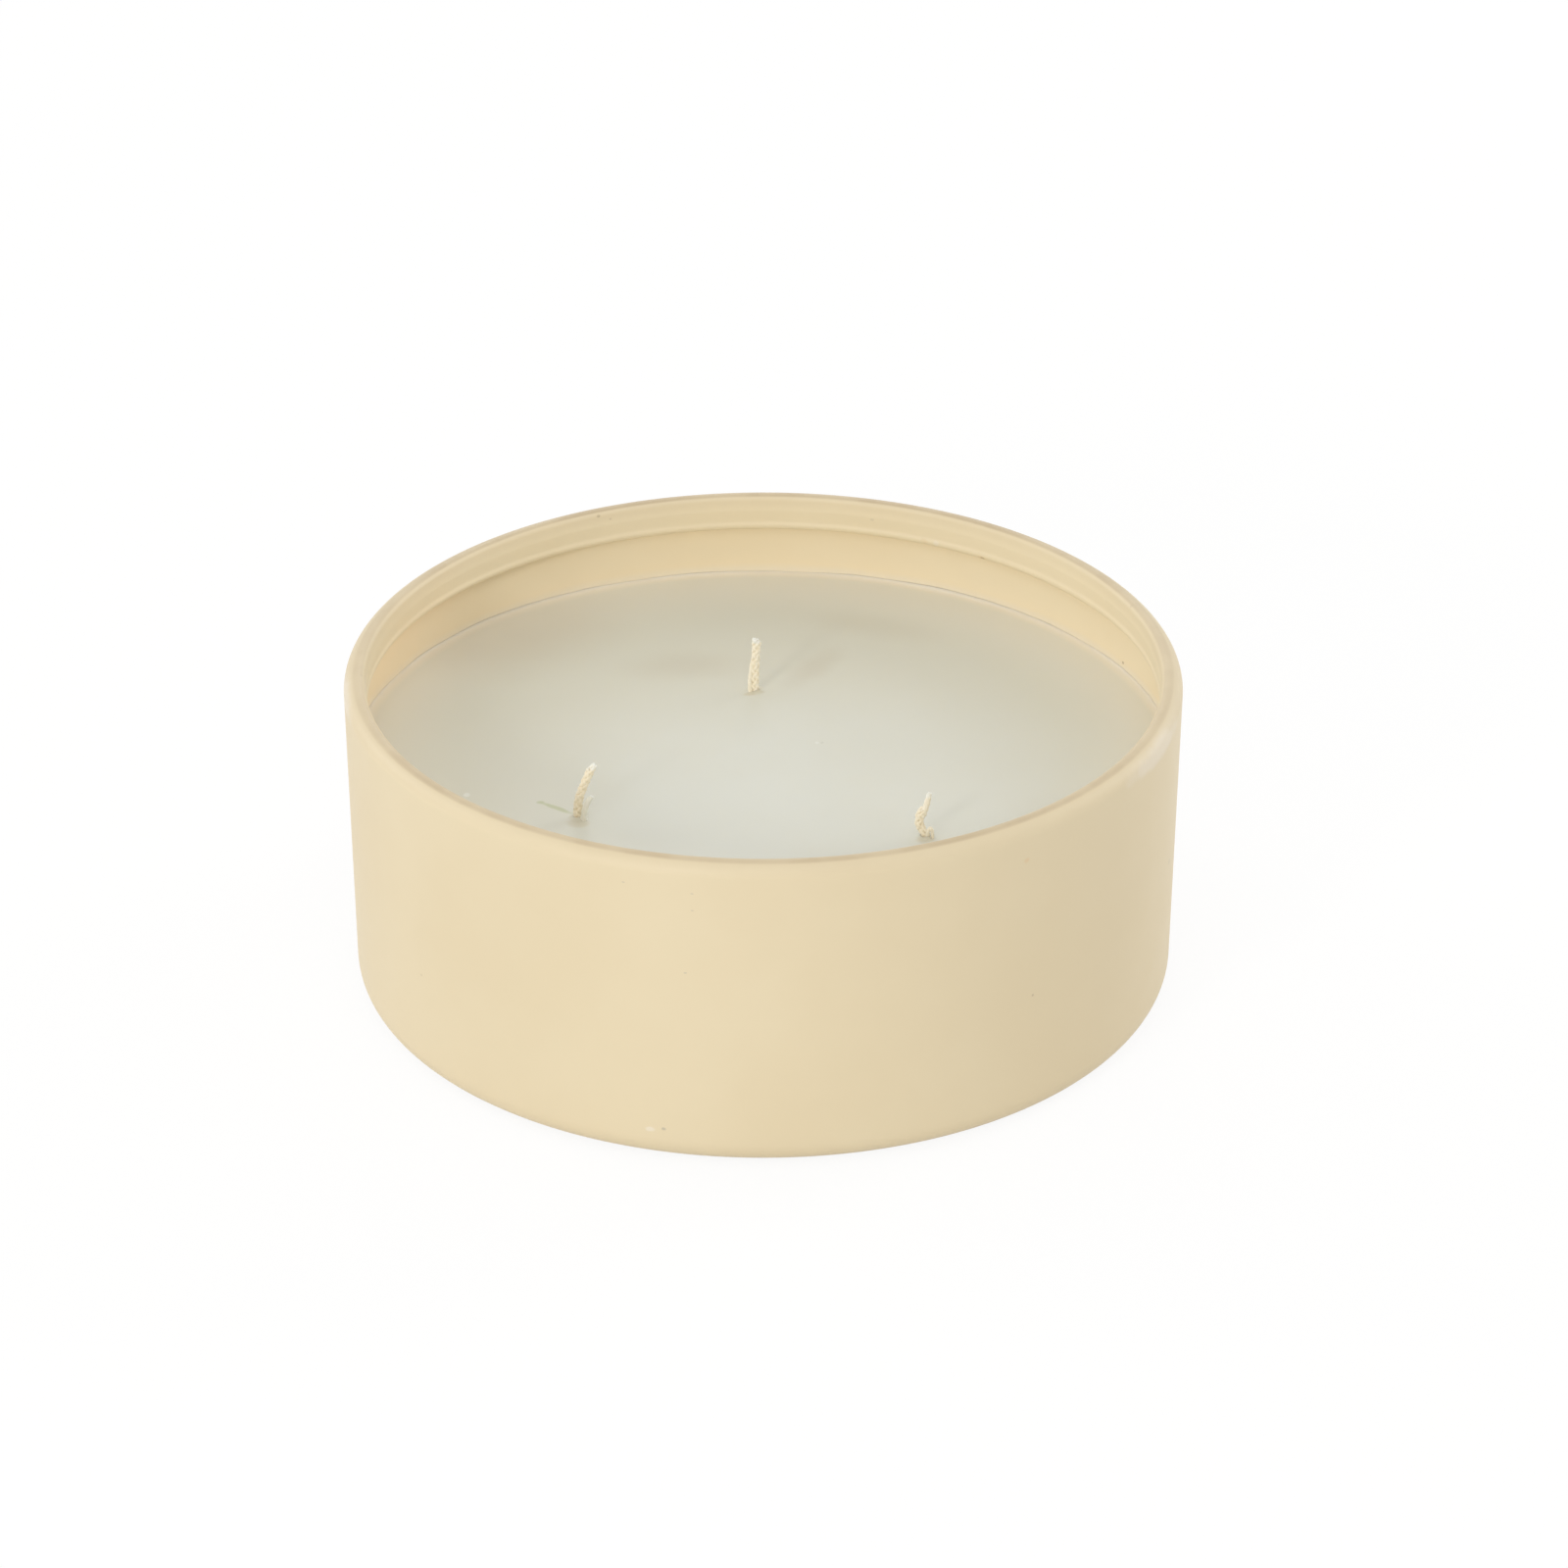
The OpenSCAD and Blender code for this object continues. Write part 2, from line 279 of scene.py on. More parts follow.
class CandleStage(bpy.types.PropertyGroup):
    """Camera, lamps and floor."""
    distance: length("Distance", "From the camera to the middle of the rim", 1.2)
    elevation: angle("Elevation", "Height of the camera above the rim, as an angle", 26.814)
    lens: bpy.props.FloatProperty(
        name="Lens", description="Focal length of the camera", default=154.02, subtype="DISTANCE_CAMERA"
    )
    aim: bpy.props.FloatVectorProperty(
        name="Aim", description="Place of the rim's middle in the picture, from its centre, in widths",
        default=(-21.0 / 1600, 119.44 / 1600), size=2
    )
    floor: colour("Floor", "Colour of the floor", shade(236, 235, 232))


def settings(name):
    """The user's values for one group of pieces."""
    return getattr(bpy.context.scene, "candle_" + name)


class Section:
    """A line in the tub's section, drawn as a walk: each state is radius, height and heading."""

    def __init__(self, radius, height):
        self.states = [(radius, height, 0.0)]

    def ahead(self, distance, steps=1):
        """Walks straight on."""
        radius, height, heading = self.states[-1]
        for step in range(1, steps + 1):
            along = distance * step / steps
            self.states.append(
                (radius + along * math.cos(heading), height + along * math.sin(heading), heading)
            )

    def bend(self, bend_radius, turn):
        """Walks along an arc, to the left where the turn is positive."""
        radius, height, heading = self.states[-1]
        side = math.copysign(bend_radius, turn)
        steps = max(1, math.ceil(abs(turn) / FACET_TURN))
        for step in range(1, steps + 1):
            to = heading + turn * step / steps
            self.states.append((
                radius + side * (math.sin(to) - math.sin(heading)),
                height - side * (math.cos(to) - math.cos(heading)),
                to
            ))

    def beside(self, distance):
        """The line moved sideways to its left, as pairs of radius and height."""
        return [
            (radius - distance * math.sin(heading), height + distance * math.cos(heading))
            for radius, height, heading in self.states
        ]


class TubForm:
    """The tub's section: base panel, foot ring, corner, wall and folded rim."""

    def __init__(self, tub):
        low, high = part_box("container")
        self.rim_radius = (high.x - low.x) / 2
        self.height = high.z
        self.half = tub.sheet / 2
        rise, inset = self.height - tub.shoulder, tub.draft - tub.shoulder
        self.wall_angle = math.acos(-tub.shoulder / math.hypot(inset, rise)) - math.atan2(rise, inset)
        foot_radius = self.rim_radius - tub.draft
        corner_width = tub.corner * (1 - math.sin(self.wall_angle)) / math.cos(self.wall_angle)
        corner_radius = foot_radius - corner_width
        step_angle = math.acos(1 - tub.panel_lift / (2 * tub.panel_bend))
        panel_radius = corner_radius - tub.foot_ring - 2 * tub.panel_bend * math.sin(step_angle)
        line = Section(0, tub.panel_lift + self.half)
        line.ahead(panel_radius, PANEL_STEPS)
        line.bend(tub.panel_bend, -step_angle)
        line.bend(tub.panel_bend, step_angle)
        line.ahead(tub.foot_ring, FOOT_STEPS)
        line.bend(tub.corner - self.half, QUARTER - self.wall_angle)
        self.bed = list(line.states)
        wall_rise = self.height - tub.shoulder - tub.corner
        lean = (tub.corner - tub.shoulder) * math.tan(self.wall_angle)
        line.ahead(wall_rise / math.cos(self.wall_angle) + lean, WALL_STEPS)
        line.bend(tub.shoulder - self.half, QUARTER + self.wall_angle)
        self.fold_start = len(line.states)
        line.bend(tub.turn - self.half, QUARTER - tub.upper_lean)
        self.turn_steps = len(line.states) - self.fold_start
        line.ahead(tub.upper, UPPER_STEPS)
        line.bend(tub.hollow_bend, tub.upper_lean + tub.hollow_lean)
        line.ahead(self.hollow_length(line, tub), HOLLOW_STEPS)
        self.add_bead(line, tub)
        reach = self.inner_radius(line.states[-1][1]) - tub.edge_gap - line.states[-1][0]
        line.ahead(reach, EDGE_STEPS)
        self.line = line

    def add_bead(self, line, tub):
        """Walks out of the hollow and round the bead to level."""
        line.bend(tub.hollow_bend, -tub.hollow_lean - tub.bead_lean)
        line.bend(tub.bead - self.half, QUARTER + tub.bead_lean)

    def hollow_length(self, line, tub):
        """Length of the hollow that brings the bead's underside to the fold's height."""
        trial = Section(0, 0)
        trial.states = list(line.states)
        self.add_bead(trial, tub)
        room = trial.states[-1][1] - self.half - self.height + tub.fold
        return room / math.cos(tub.hollow_lean)

    def inside_marks(self, sides):
        """Value of each point: 0 outside, up to TURN_SHARE on the fold, 1 on the sheet's other side."""
        outer = [
            TURN_SHARE * min(1.0, max(0.0, (along - self.fold_start) / self.turn_steps))
            for along in range(len(self.line.states))
        ]
        marks = []
        for index, mark in enumerate(outer + [1.0] * len(outer)):
            on_axis = index in (0, 2 * len(outer) - 1)
            marks += [mark] * (1 if on_axis else sides)
        return marks

    def inner_radius(self, height):
        """Radius of the wall's inner face at a height."""
        radius, low, heading = self.bed[-1]
        return radius - self.half * math.sin(heading) + (
            height - low - self.half * math.cos(heading)) * math.tan(self.wall_angle)


class WaxForm:
    """The wax's upper face and its fit in the tub."""

    def __init__(self, wax, tub_form):
        self.wax = wax
        self.edge_height = tub_form.height - wax.drop
        gap = wax.cast_gap / math.cos(tub_form.wall_angle)
        self.edge_radius = tub_form.inner_radius(self.edge_height) - gap
        self.dish_radius = self.edge_radius - wax.creep_width

    def level(self, radius):
        """Height of the dished face at a radius, without creep, ripples or collars."""
        inside = min(radius, self.dish_radius) / self.dish_radius
        return self.edge_height - self.wax.creep - self.wax.dish * (1 - inside ** 2)


def wick_axis(place):
    """Middle of a wick where it stands in its sustainer, from the frame."""
    low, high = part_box("sustainer_" + place)
    return Vector(((low.x + high.x) / 2, (low.y + high.y) / 2, low.z))


def mesh_object(name, points, faces):
    """A smooth mesh piece made from points and faces."""
    mesh = bpy.data.meshes.new(name)
    mesh.from_pydata([tuple(point) for point in points], [], faces)
    mesh.validate()
    mesh.polygons.foreach_set("use_smooth", [True] * len(mesh.polygons))
    piece = bpy.data.objects.new(name, mesh)
    bpy.context.scene.collection.objects.link(piece)
    return piece


def keep(piece, name, values, kind="FLOAT", field="value"):
    """Keeps values on a piece's points, for its material."""
    piece.data.attributes.new(name, kind, "POINT").data.foreach_set(field, values)


def stand_for(piece, material, slot, *nodes):
    """Gives a piece its material, and lets it stand for its CAD nodes on their body."""
    piece.data.materials.append(material)
    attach(piece, BODY)
    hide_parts(*nodes)


def revolve(outline, sides, shift):
    """Points and faces of a turned shape. The outline's ends lie on the axis."""
    points, faces = [], []
    rings = []
    for index, (radius, height) in enumerate(outline):
        if index in (0, len(outline) - 1):
            rings.append([len(points)])
            points.append(Vector((0, 0, height)))
            continue
        rings.append(list(range(len(points), len(points) + sides)))
        for side in range(sides):
            turn = TURN * side / sides
            moved = radius + shift(index, turn)
            points.append(Vector((moved * math.cos(turn), moved * math.sin(turn), height)))
    for first, second in zip(rings, rings[1:]):
        for side in range(sides):
            after = (side + 1) % sides
            if len(first) == 1:
                faces.append((first[0], second[after], second[side]))
            elif len(second) == 1:
                faces.append((first[side], first[after], second[0]))
            else:
                faces.append((first[side], first[after], second[after], second[side]))
    return points, faces


def drift(place):
    """A smooth value over space, from about -1 to 1, in three sizes of wave."""
    return noise.fractal(place, 1.0, 2.0, 3)


def wander(turn, seed):
    """A smooth value round the tub, from about -1 to 1."""
    return drift(Vector((math.cos(turn), math.sin(turn), seed)) * WANDER_WAVES)


def build_tub():
    """The tub as one folded sheet, with the small unevenness of a real fold."""
    tub = settings("tub")
    form = TubForm(tub)
    outer, inner = form.line.beside(-form.half), form.line.beside(form.half)
    outline = outer + inner[::-1]
    count = len(outer)
    fold_end = form.height - tub.fold

    def shift(index, turn):
        along = index if index < count else 2 * count - 1 - index
        if along < form.fold_start:
            return 0.0
        depth = (form.height - form.line.states[along][1]) / (form.height - fold_end)
        return tub.wave * wander(turn, FOLD_SEED) * min(1.0, depth) ** 2

    points, faces = revolve(outline, TUB_SIDES, shift)
    piece = mesh_object("tub_sheet", points, faces)
    keep(piece, "crest", [max(0.0, 1 - (form.height - point.z) / tub.shoulder) for point in points])
    keep(piece, "inside", form.inside_marks(TUB_SIDES))
    stand_for(piece, paint_material(tub, settings("wax"), form), "cream_paint", "container")
    return piece


def ring_of(centre, radius, sides):
    """Points of a level circle."""
    return [
        Vector((centre.x + radius * math.cos(TURN * side / sides),
                centre.y + radius * math.sin(TURN * side / sides)))
        for side in range(sides)
    ]


def filled(outer, holes, inside):
    """Triangles of a flat area with round holes: points, faces, and where each ring's points went."""
    points, edges, rings = [], [], []
    for ring in [outer] + holes:
        first = len(points)
        points += ring
        rings.append(range(first, len(points)))
        edges += [(first + side, first + (side + 1) % len(ring)) for side in range(len(ring))]
    points += inside
    found, _, faces, source, _, _ = delaunay_2d_cdt(points, edges, [], 0, SAME_PLACE)
    place = {old: new for new, olds in enumerate(source) for old in olds}
    left = []
    for face in faces:
        middle = sum((found[i] for i in face), Vector((0, 0))) / len(face)
        if all(not within(middle, hole) for hole in holes):
            left.append(tuple(face))
    return found, left, [[place[i] for i in ring] for ring in rings]


def within(point, ring):
    """Whether a point lies inside a round ring of points."""
    middle = sum(ring, Vector((0, 0))) / len(ring)
    return (point - middle).length < (ring[0] - middle).length * WELL_INSIDE


class Shell:
    """A mesh in the making, from rings of points that are joined by bands."""

    def __init__(self):
        self.points, self.faces = [], []

    def ring(self, flat_points, height):
        """Adds level points, all at one height or each at its own, and gives their numbers."""
        first = len(self.points)
        for point in flat_points:
            high = height(point) if callable(height) else height
            self.points.append(Vector((point.x, point.y, high)))
        return list(range(first, len(self.points)))

    def band(self, first, second):
        """Joins two rings of as many points."""
        count = len(first)
        for side in range(count):
            after = (side + 1) % count
            self.faces.append((first[side], first[after], second[after], second[side]))

    def bands(self, rings):
        """Joins each ring to the next."""
        for first, second in zip(rings, rings[1:]):
            self.band(first, second)

    def area(self, outer, holes, inside, height):
        """Fills a flat area with triangles, and gives the numbers of the points on its rings."""
        found, faces, rings = filled(outer, holes, inside)
        numbers = self.ring(found, height)
        self.faces += [tuple(numbers[corner] for corner in face) for face in faces]
        return [[numbers[corner] for corner in ring] for ring in rings]

    def piece(self, name):
        """The mesh as a piece, with its faces turned outward."""
        made = mesh_object(name, self.points, self.faces)
        shape = bmesh.new()
        shape.from_mesh(made.data)
        bmesh.ops.recalc_face_normals(shape, faces=shape.faces)
        shape.to_mesh(made.data)
        shape.free()
        return made


def spread_points(radius, spacing, clear):
    """Points of even spacing inside a circle, apart from the clear places of centre and radius."""
    points = [Vector((0, 0))]
    for row in range(1, int(radius / spacing) + 1):
        at = row * spacing
        if at > radius - spacing / 2:
            break
        points += ring_of(Vector((0, 0)), at, max(LEAST_SIDES, round(TURN * at / spacing)))
    return [
        point for point in points
        if all((point - middle).length > reach for middle, reach in clear)
    ]


def wax_heights(wax, form, axes, hole):
    """Functions for the height of the wax's face, and of its creep at a share of the way in."""
    def face_height(point):
        radius = point.length
        slow = drift(Vector((point.x, point.y, SLOW_SEED)) * SLOW_RIPPLES)
        quick = noise.noise(Vector((point.x, point.y, QUICK_SEED)) * QUICK_RIPPLES)
        calm = min(1.0, (form.edge_radius - radius) / (CALM_WIDTHS * wax.creep_width))
        height = form.level(radius) + wax.ripple * calm * (slow + QUICK_SHARE * quick)
        for axis in axes:
            away = (point - axis).length - hole
            if away < wax.cling_width:
                near = 1 - away / wax.cling_width
                lobes = math.sin(CLING_LOBES * math.atan2(*(point - axis)))
                height += wax.cling * near ** 2 * (1 + CLING_UNEVEN * lobes)
        return height

    def creep_height(share_in):
        rise = 1 - math.sin(share_in * QUARTER)

        def height(point):
            turn = math.atan2(point.y, point.x) * EDGE_WAVES
            uneven = 1 + EDGE_UNEVEN * wander(turn, EDGE_SEED)
            return form.level(form.dish_radius) + wax.creep * uneven * rise
        return height

    return face_height, creep_height


def add_bed(shell, wax, tub_form, axes):
    """The wax's outer side down to the base, and its flat bed with a hole for each glue dot."""
    centre = Vector((0, 0))
    section = Section(0, 0)
    section.states = tub_form.bed
    bed_line = section.beside(tub_form.half + wax.cast_gap)
    flat_radius, floor_height = bed_line[PANEL_STEPS]
    rings = [
        shell.ring(ring_of(centre, radius, WAX_SIDES), height)
        for radius, height in reversed(bed_line[PANEL_STEPS + 1:])
    ]
    glue_radii = []
    for place in PLACES:
        low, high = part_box("glue_dot_" + place)
        glue_radii.append((high.x - low.x) / 2 + wax.cast_gap)
    glue_holes = [ring_of(axis, radius, HOLE_SIDES) for axis, radius in zip(axes, glue_radii)]
    rim = ring_of(centre, flat_radius, WAX_SIDES)
    flat_ring, *glue_rings = shell.area(rim, glue_holes, [], floor_height)
    return rings + [flat_ring], glue_rings, glue_radii


def add_channel(shell, wax, metal, place, axis, hole, glue_radius, top_ring, glue_ring):
    """The room in the wax round one glue dot, sustainer and wick."""
    low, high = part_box("sustainer_" + place)
    glue_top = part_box("glue_dot_" + place)[1].z
    disc = (high.x - low.x) / 2 + wax.cast_gap
    disc_top = glue_top + metal.plate + wax.cast_gap
    collar = hole + metal.plate + wax.cast_gap
    collar_top = high.z + wax.cast_gap
    steps = [
        (glue_radius, glue_top), (disc, glue_top), (disc, disc_top), (collar + metal.root, disc_top),
        (collar, glue_top + metal.plate + metal.root), (collar, collar_top), (hole, collar_top)
    ]
    rings = [shell.ring(ring_of(axis, radius, HOLE_SIDES), height) for radius, height in steps]
    shell.bands([glue_ring] + rings + [top_ring])


def build_wax():
    """The wax casting: rippled face, creep at the wall, collars at the wicks, room for what it holds."""
    wax, wicks, metal = settings("wax"), settings("wicks"), settings("metal")
    tub_form = TubForm(settings("tub"))
    form = WaxForm(wax, tub_form)
    hole = wicks.diameter / 2 + wax.cast_gap
    reach = hole + wax.cling_width
    axes = [wick_axis(place).to_2d() for place in PLACES]
    face_height, creep_height = wax_heights(wax, form, axes, hole)
    shell = Shell()
    centre = Vector((0, 0))
    outer = ring_of(centre, form.dish_radius, WAX_SIDES)
    holes = [ring_of(axis, hole, HOLE_SIDES) for axis in axes]
    clear = [(axis, reach + CLEAR_MARGIN) for axis in axes]
    inside = spread_points(form.dish_radius, FACE_SPACING, clear)
    for axis in axes:
        for step in range(1, HOLE_RINGS + 1):
            away = (reach + RING_MARGIN - hole) * step / HOLE_RINGS
            inside += ring_of(axis, hole + away, HOLE_SIDES)
    dish_ring, *hole_rings = shell.area(outer, holes, inside, face_height)
    rings = [dish_ring]
    for step in range(CREEP_STEPS - 1, -1, -1):
        share_in = step / CREEP_STEPS
        radius = form.edge_radius - wax.creep_width * (1 - math.cos(share_in * QUARTER))
        rings.append(shell.ring(ring_of(centre, radius, WAX_SIDES), creep_height(share_in)))
    bed_rings, glue_rings, glue_radii = add_bed(shell, wax, tub_form, axes)
    shell.bands(rings + bed_rings)
    for seat in zip(PLACES, axes, [hole] * len(axes), glue_radii, hole_rings, glue_rings):
        add_channel(shell, wax, metal, *seat)
    piece = shell.piece("wax_casting")
    stand_for(piece, wax_material(wax, form), "wax", "wax")
    return piece


class Curve:
    """A smooth curve that passes through all its points."""

    def __init__(self, points):
        self.points = [Vector(point) for point in points]

    def at(self, share_along):
        """Place on the curve, from 0 at its start to 1 at its end."""
        spans = len(self.points) - 1
        span = min(int(share_along * spans), spans - 1)
        u = share_along * spans - span
        a = self.points[max(span - 1, 0)]
        b, c = self.points[span], self.points[span + 1]
        d = self.points[min(span + 2, spans)]
        return b + u * (c - a) / 2 + u * u * (a - 2.5 * b + 2 * c - d / 2) \
            + u * u * u * (1.5 * (b - c) + (d - a) / 2)

    def at_height(self, height):
        """Place on a curve that climbs all the way, at a height."""
        low, high = 0.0, 1.0
        for _ in range(HALVINGS):
            middle = (low + high) / 2
            if self.at(middle).z < height:
                low = middle
            else:
                high = middle
        return self.at((low + high) / 2)


def add_yarn(shell, marks, centres, widths, sides=10, flat=1.0, outward=None, waxed=0.0):
    """Adds a closed tube of yarn. Marks keep each point's place round and along it, and how waxed it is."""
    rings = []
    along = 0.0
    for index, centre in enumerate(centres):
        before, after = centres[max(index - 1, 0)], centres[min(index + 1, len(centres) - 1)]
        heading = (after - before).normalized()
        along += (centre - centres[index - 1]).length if index else 0.0
        out = outward[index] if outward else Vector((1, 0, 0))
        across = heading.cross(out).normalized()
        out = across.cross(heading)
        first = len(shell.points)
        for side in range(sides):
            turn = TURN * side / sides
            place = across * math.cos(turn) + out * (flat * math.sin(turn))
            shell.points.append(centre + widths[index] * place)
            marks.append((math.cos(turn), math.sin(turn), along, waxed))
        rings.append(list(range(first, first + sides)))
    shell.bands(rings)
    for ring in (rings[0][::-1], rings[-1]):
        middle = sum((shell.points[i] for i in ring), Vector()) / len(ring)
        shell.points.append(middle)
        marks.append((0.0, 0.0, along, waxed))
        last = len(shell.points) - 1
        shell.faces += [(ring[side], ring[(side + 1) % sides], last) for side in range(sides)]


def hashed(*keys):
    """A fixed value from 0 to 1 for three numbers."""
    return noise.cell(Vector([key * HASH_STEP + 0.5 for key in keys]))


def add_braid(shell, marks, wicks, line, foot, cut, slant, seed):
    """Yarns that wind both ways round the wick's line, over and under each other, up to a slanted cut."""
    radius = wicks.diameter / 2
    count = wicks.strands
    wind = TURN / wicks.pitch
    for way in (1, -1):
        for strand in range(count):
            start = TURN * (strand + YARN_SHIFT * seed) / count
            centres, widths, outs = [], [], []
            height = foot
            loose = LOOSE_SHARE * hashed(seed, way, strand)
            while True:
                open_share = max(0.0, 1 + (height - cut) / SPLAY_RISE)
                splay = open_share ** 2 * SPLAY * radius * (SPLAY_START + loose)
                turn = start + way * wind * (height - foot)
                out = Vector((math.cos(turn), math.sin(turn), 0))
                lift = way * (radius * YARN_WEAVE) * math.cos(count * wind * (height - foot))
                end = cut + slant * out.x * radius + TIP_UNEVEN * (loose - SPLAY_START)
                if height > end and len(centres) > YARN_LEAST:
                    break
                centres.append(line.at_height(height) + out * (radius * YARN_PLACE + lift + splay))
                outs.append(out)
                bulge = 1 + YARN_BULGE * math.sin(YARN_BULGES * turn + strand)
                widths.append(radius * YARN_WIDTH * bulge)
                height += YARN_STEP
            widths[-1] *= YARN_FLAT
            add_yarn(shell, marks, centres, widths, flat=YARN_FLAT, outward=outs)


def add_strand(shell, marks, path, half_width, waxed):
    """A loose strand of the braid: plies twisted round each other along a path, thinner to the end."""
    last = len(path) - 1
    for ply in range(PLIES):
        centres, widths, outs = [], [], []
        for step, point in enumerate(path):
            heading = (path[min(step + 1, last)] - path[max(step - 1, 0)]).normalized()
            across = heading.cross(Vector((0, 1, 0))).normalized()
            turn = TURN * (ply / PLIES + PLY_TURNS * step / last)
            out = across * math.cos(turn) + across.cross(heading) * math.sin(turn)
            width = half_width * (1 - STRAND_TAPER * (step / last) ** 3)
            centres.append(point + (PLY_PLACE - PLY_MERGE * waxed) * width * out)
            widths.append((PLY_WIDTH + PLY_MERGE * waxed) * width)
            outs.append(out)
        add_yarn(shell, marks, centres, widths, outward=outs, waxed=waxed)


def add_fuzz(shell, marks, wicks, line, foot, cut, seed):
    """Loose fibres that stand off the braid."""
    radius = wicks.diameter / 2
    for hair in range(HAIRS):
        height = foot + (cut - foot) * hashed(seed, hair, 1)
        turn = TURN * hashed(seed, hair, 2)
        reach = wicks.fuzz * (HAIR_LEAST + (1 - HAIR_LEAST) * hashed(seed, hair, 3))
        round_out = Vector((math.cos(turn), math.sin(turn), 0))
        rise = HAIR_RISE * hashed(seed, hair, 4) - HAIR_DROOP
        curl = hashed(seed, hair, 5) - 0.5
        side = Vector((-math.sin(turn), math.cos(turn), HAIR_CURL_RISE)) * curl
        root = line.at_height(height) + round_out * radius * HAIR_ROOT
        out = round_out + Vector((0, 0, rise))
        centres = [root + (out * t + side * t * t) * reach for t, _ in HAIR_FORM]
        widths = [width * MM for _, width in HAIR_FORM]
        # Fully waxed fibres are painted paler: wax and painted light against their own shade.
        add_yarn(shell, marks, centres, widths, sides=HAIR_SIDES, waxed=1.0)


# Halvings of a curve's length in the search for a height
HALVINGS = 24
# Spread of the numbers that the fixed values are made from
HASH_STEP = 7.31
# The braid's yarns as shares of the wick's radius: half width, distance from the middle, and how far
# each goes in and out
YARN_WIDTH = 0.38
YARN_PLACE = 0.58
YARN_WEAVE = 0.17
# Thickness of a yarn as a share of its width, its bulges in a turn and their height, the rings along
# it, the least number of them, and how far the braid of the next wick is turned
YARN_FLAT = 0.72
YARN_BULGES = 9
YARN_BULGE = 0.08
YARN_STEP = 0.14 * MM
YARN_LEAST = 4
YARN_SHIFT = 0.11
# At the cut the yarns open over a height, by a share of the radius that is larger for looser ones
SPLAY_RISE = 1.6 * MM
SPLAY = 0.12
SPLAY_START = 0.3
LOOSE_SHARE = 0.6
TIP_UNEVEN = 0.25 * MM
# Bends of each wick above the wax: to the right, to the back and upward, the last as a share
BENDS = {
    "rear": [(0, 0, 0), (0.0, 0, 0.15), (0.1, 0, 0.45), (0.4, 0, 1)],
    "left": [(0, 0, 0), (0, 0, 0.15), (0.5, 0, 0.42), (2.8, 0, 1)],
    "right": [(0, 0, 0), (-0.5, 0, 0.1), (-1.1, 0, 0.3), (-0.7, 0, 0.6), (0.4, 0, 1)],
}
# Share of its height at which each wick's braid is cut, and the slope of the cut
CUTS = {"rear": (0.97, -0.25), "left": (0.97, 0.5), "right": (0.67, 0.2)}
# A loose strand's plies, the turns that they make, its thinning at the end, and its rings
PLIES = 3
PLY_TURNS = 1.6
STRAND_TAPER = 0.35
STRAND_STEPS = 40
# Place and half width of a ply as shares of the strand's, and how much wax draws the plies together
PLY_PLACE = 0.48
PLY_WIDTH = 0.56
PLY_MERGE = 0.28
# Loose fibres: number, sides, shortest as a share, rise, droop, rise of the curl, place of the root in
# the radius, and the half width in millimetres along each
HAIRS = 16
HAIR_SIDES = 3
HAIR_LEAST = 0.3
HAIR_RISE = 0.9
HAIR_DROOP = 0.2
HAIR_CURL_RISE = 0.4
HAIR_ROOT = 0.8
HAIR_FORM = [(0, 0.022), (0.3, 0.018), (0.6, 0.014), (1, 0.008)]
# Sides of the core, its slimming where the braid begins, and the height of that in the clinging wax
CORE_SIDES = 24
CORE_SLIM = 0.9
CORE_RISE = 0.7
# Loose strands of each wick in millimetres from its foot, with the half width, and how waxed each is
LOOSE = {
    "rear": [
        ([(-0.7, -0.5, -0.6), (-0.88, -0.5, 1.6), (-0.78, -0.4, 3.6), (-0.45, -0.2, 6.4)], 0.42, 0.1),
        ([(0.3, -0.4, 5.4), (0.5, -0.4, 7.2), (0.85, -0.3, 9.1)], 0.34, 0.3)
    ],
    # The left wick's strand is fully waxed, which paints it paler: wax and painted light on a strand in the
    # braid's shade.
    "left": [([(1.0, -0.8, -0.6), (1.2, -0.9, 1.4), (1.65, -0.9, 3.2), (2.5, -0.9, 4.6)], 0.62, 1.0)],
    "right": [
        ([(-0.5, -0.1, 4.2), (-0.05, -0.2, 5.8), (0.35, -0.1, 7.3), (0.65, 0.0, 8.7)], 0.58, 0.3),
        ([(0.25, -0.4, -0.5), (0.4, -0.7, 1.2), (0.75, -0.8, 2.1), (1.1, -0.8, 1.8), (1.25, -0.7, 0.9),
          (1.2, -0.6, -0.5)], 0.36, 0.2),
    ],
}


class WickLine:
    """The middle of a wick: upright in the wax, and bent above it."""

    def __init__(self, axis, foot, top, bends):
        self.axis, self.foot, self.rise = axis, foot, top - foot
        self.curve = Curve(bends)

    def at_height(self, height):
        """Place of the wick's middle at a height."""
        part = min(1.0, (height - self.foot) / self.rise)
        bent = self.curve.at_height(part) * MM if part > 0 else Vector()
        return Vector((self.axis.x + bent.x, self.axis.y + bent.y, height))


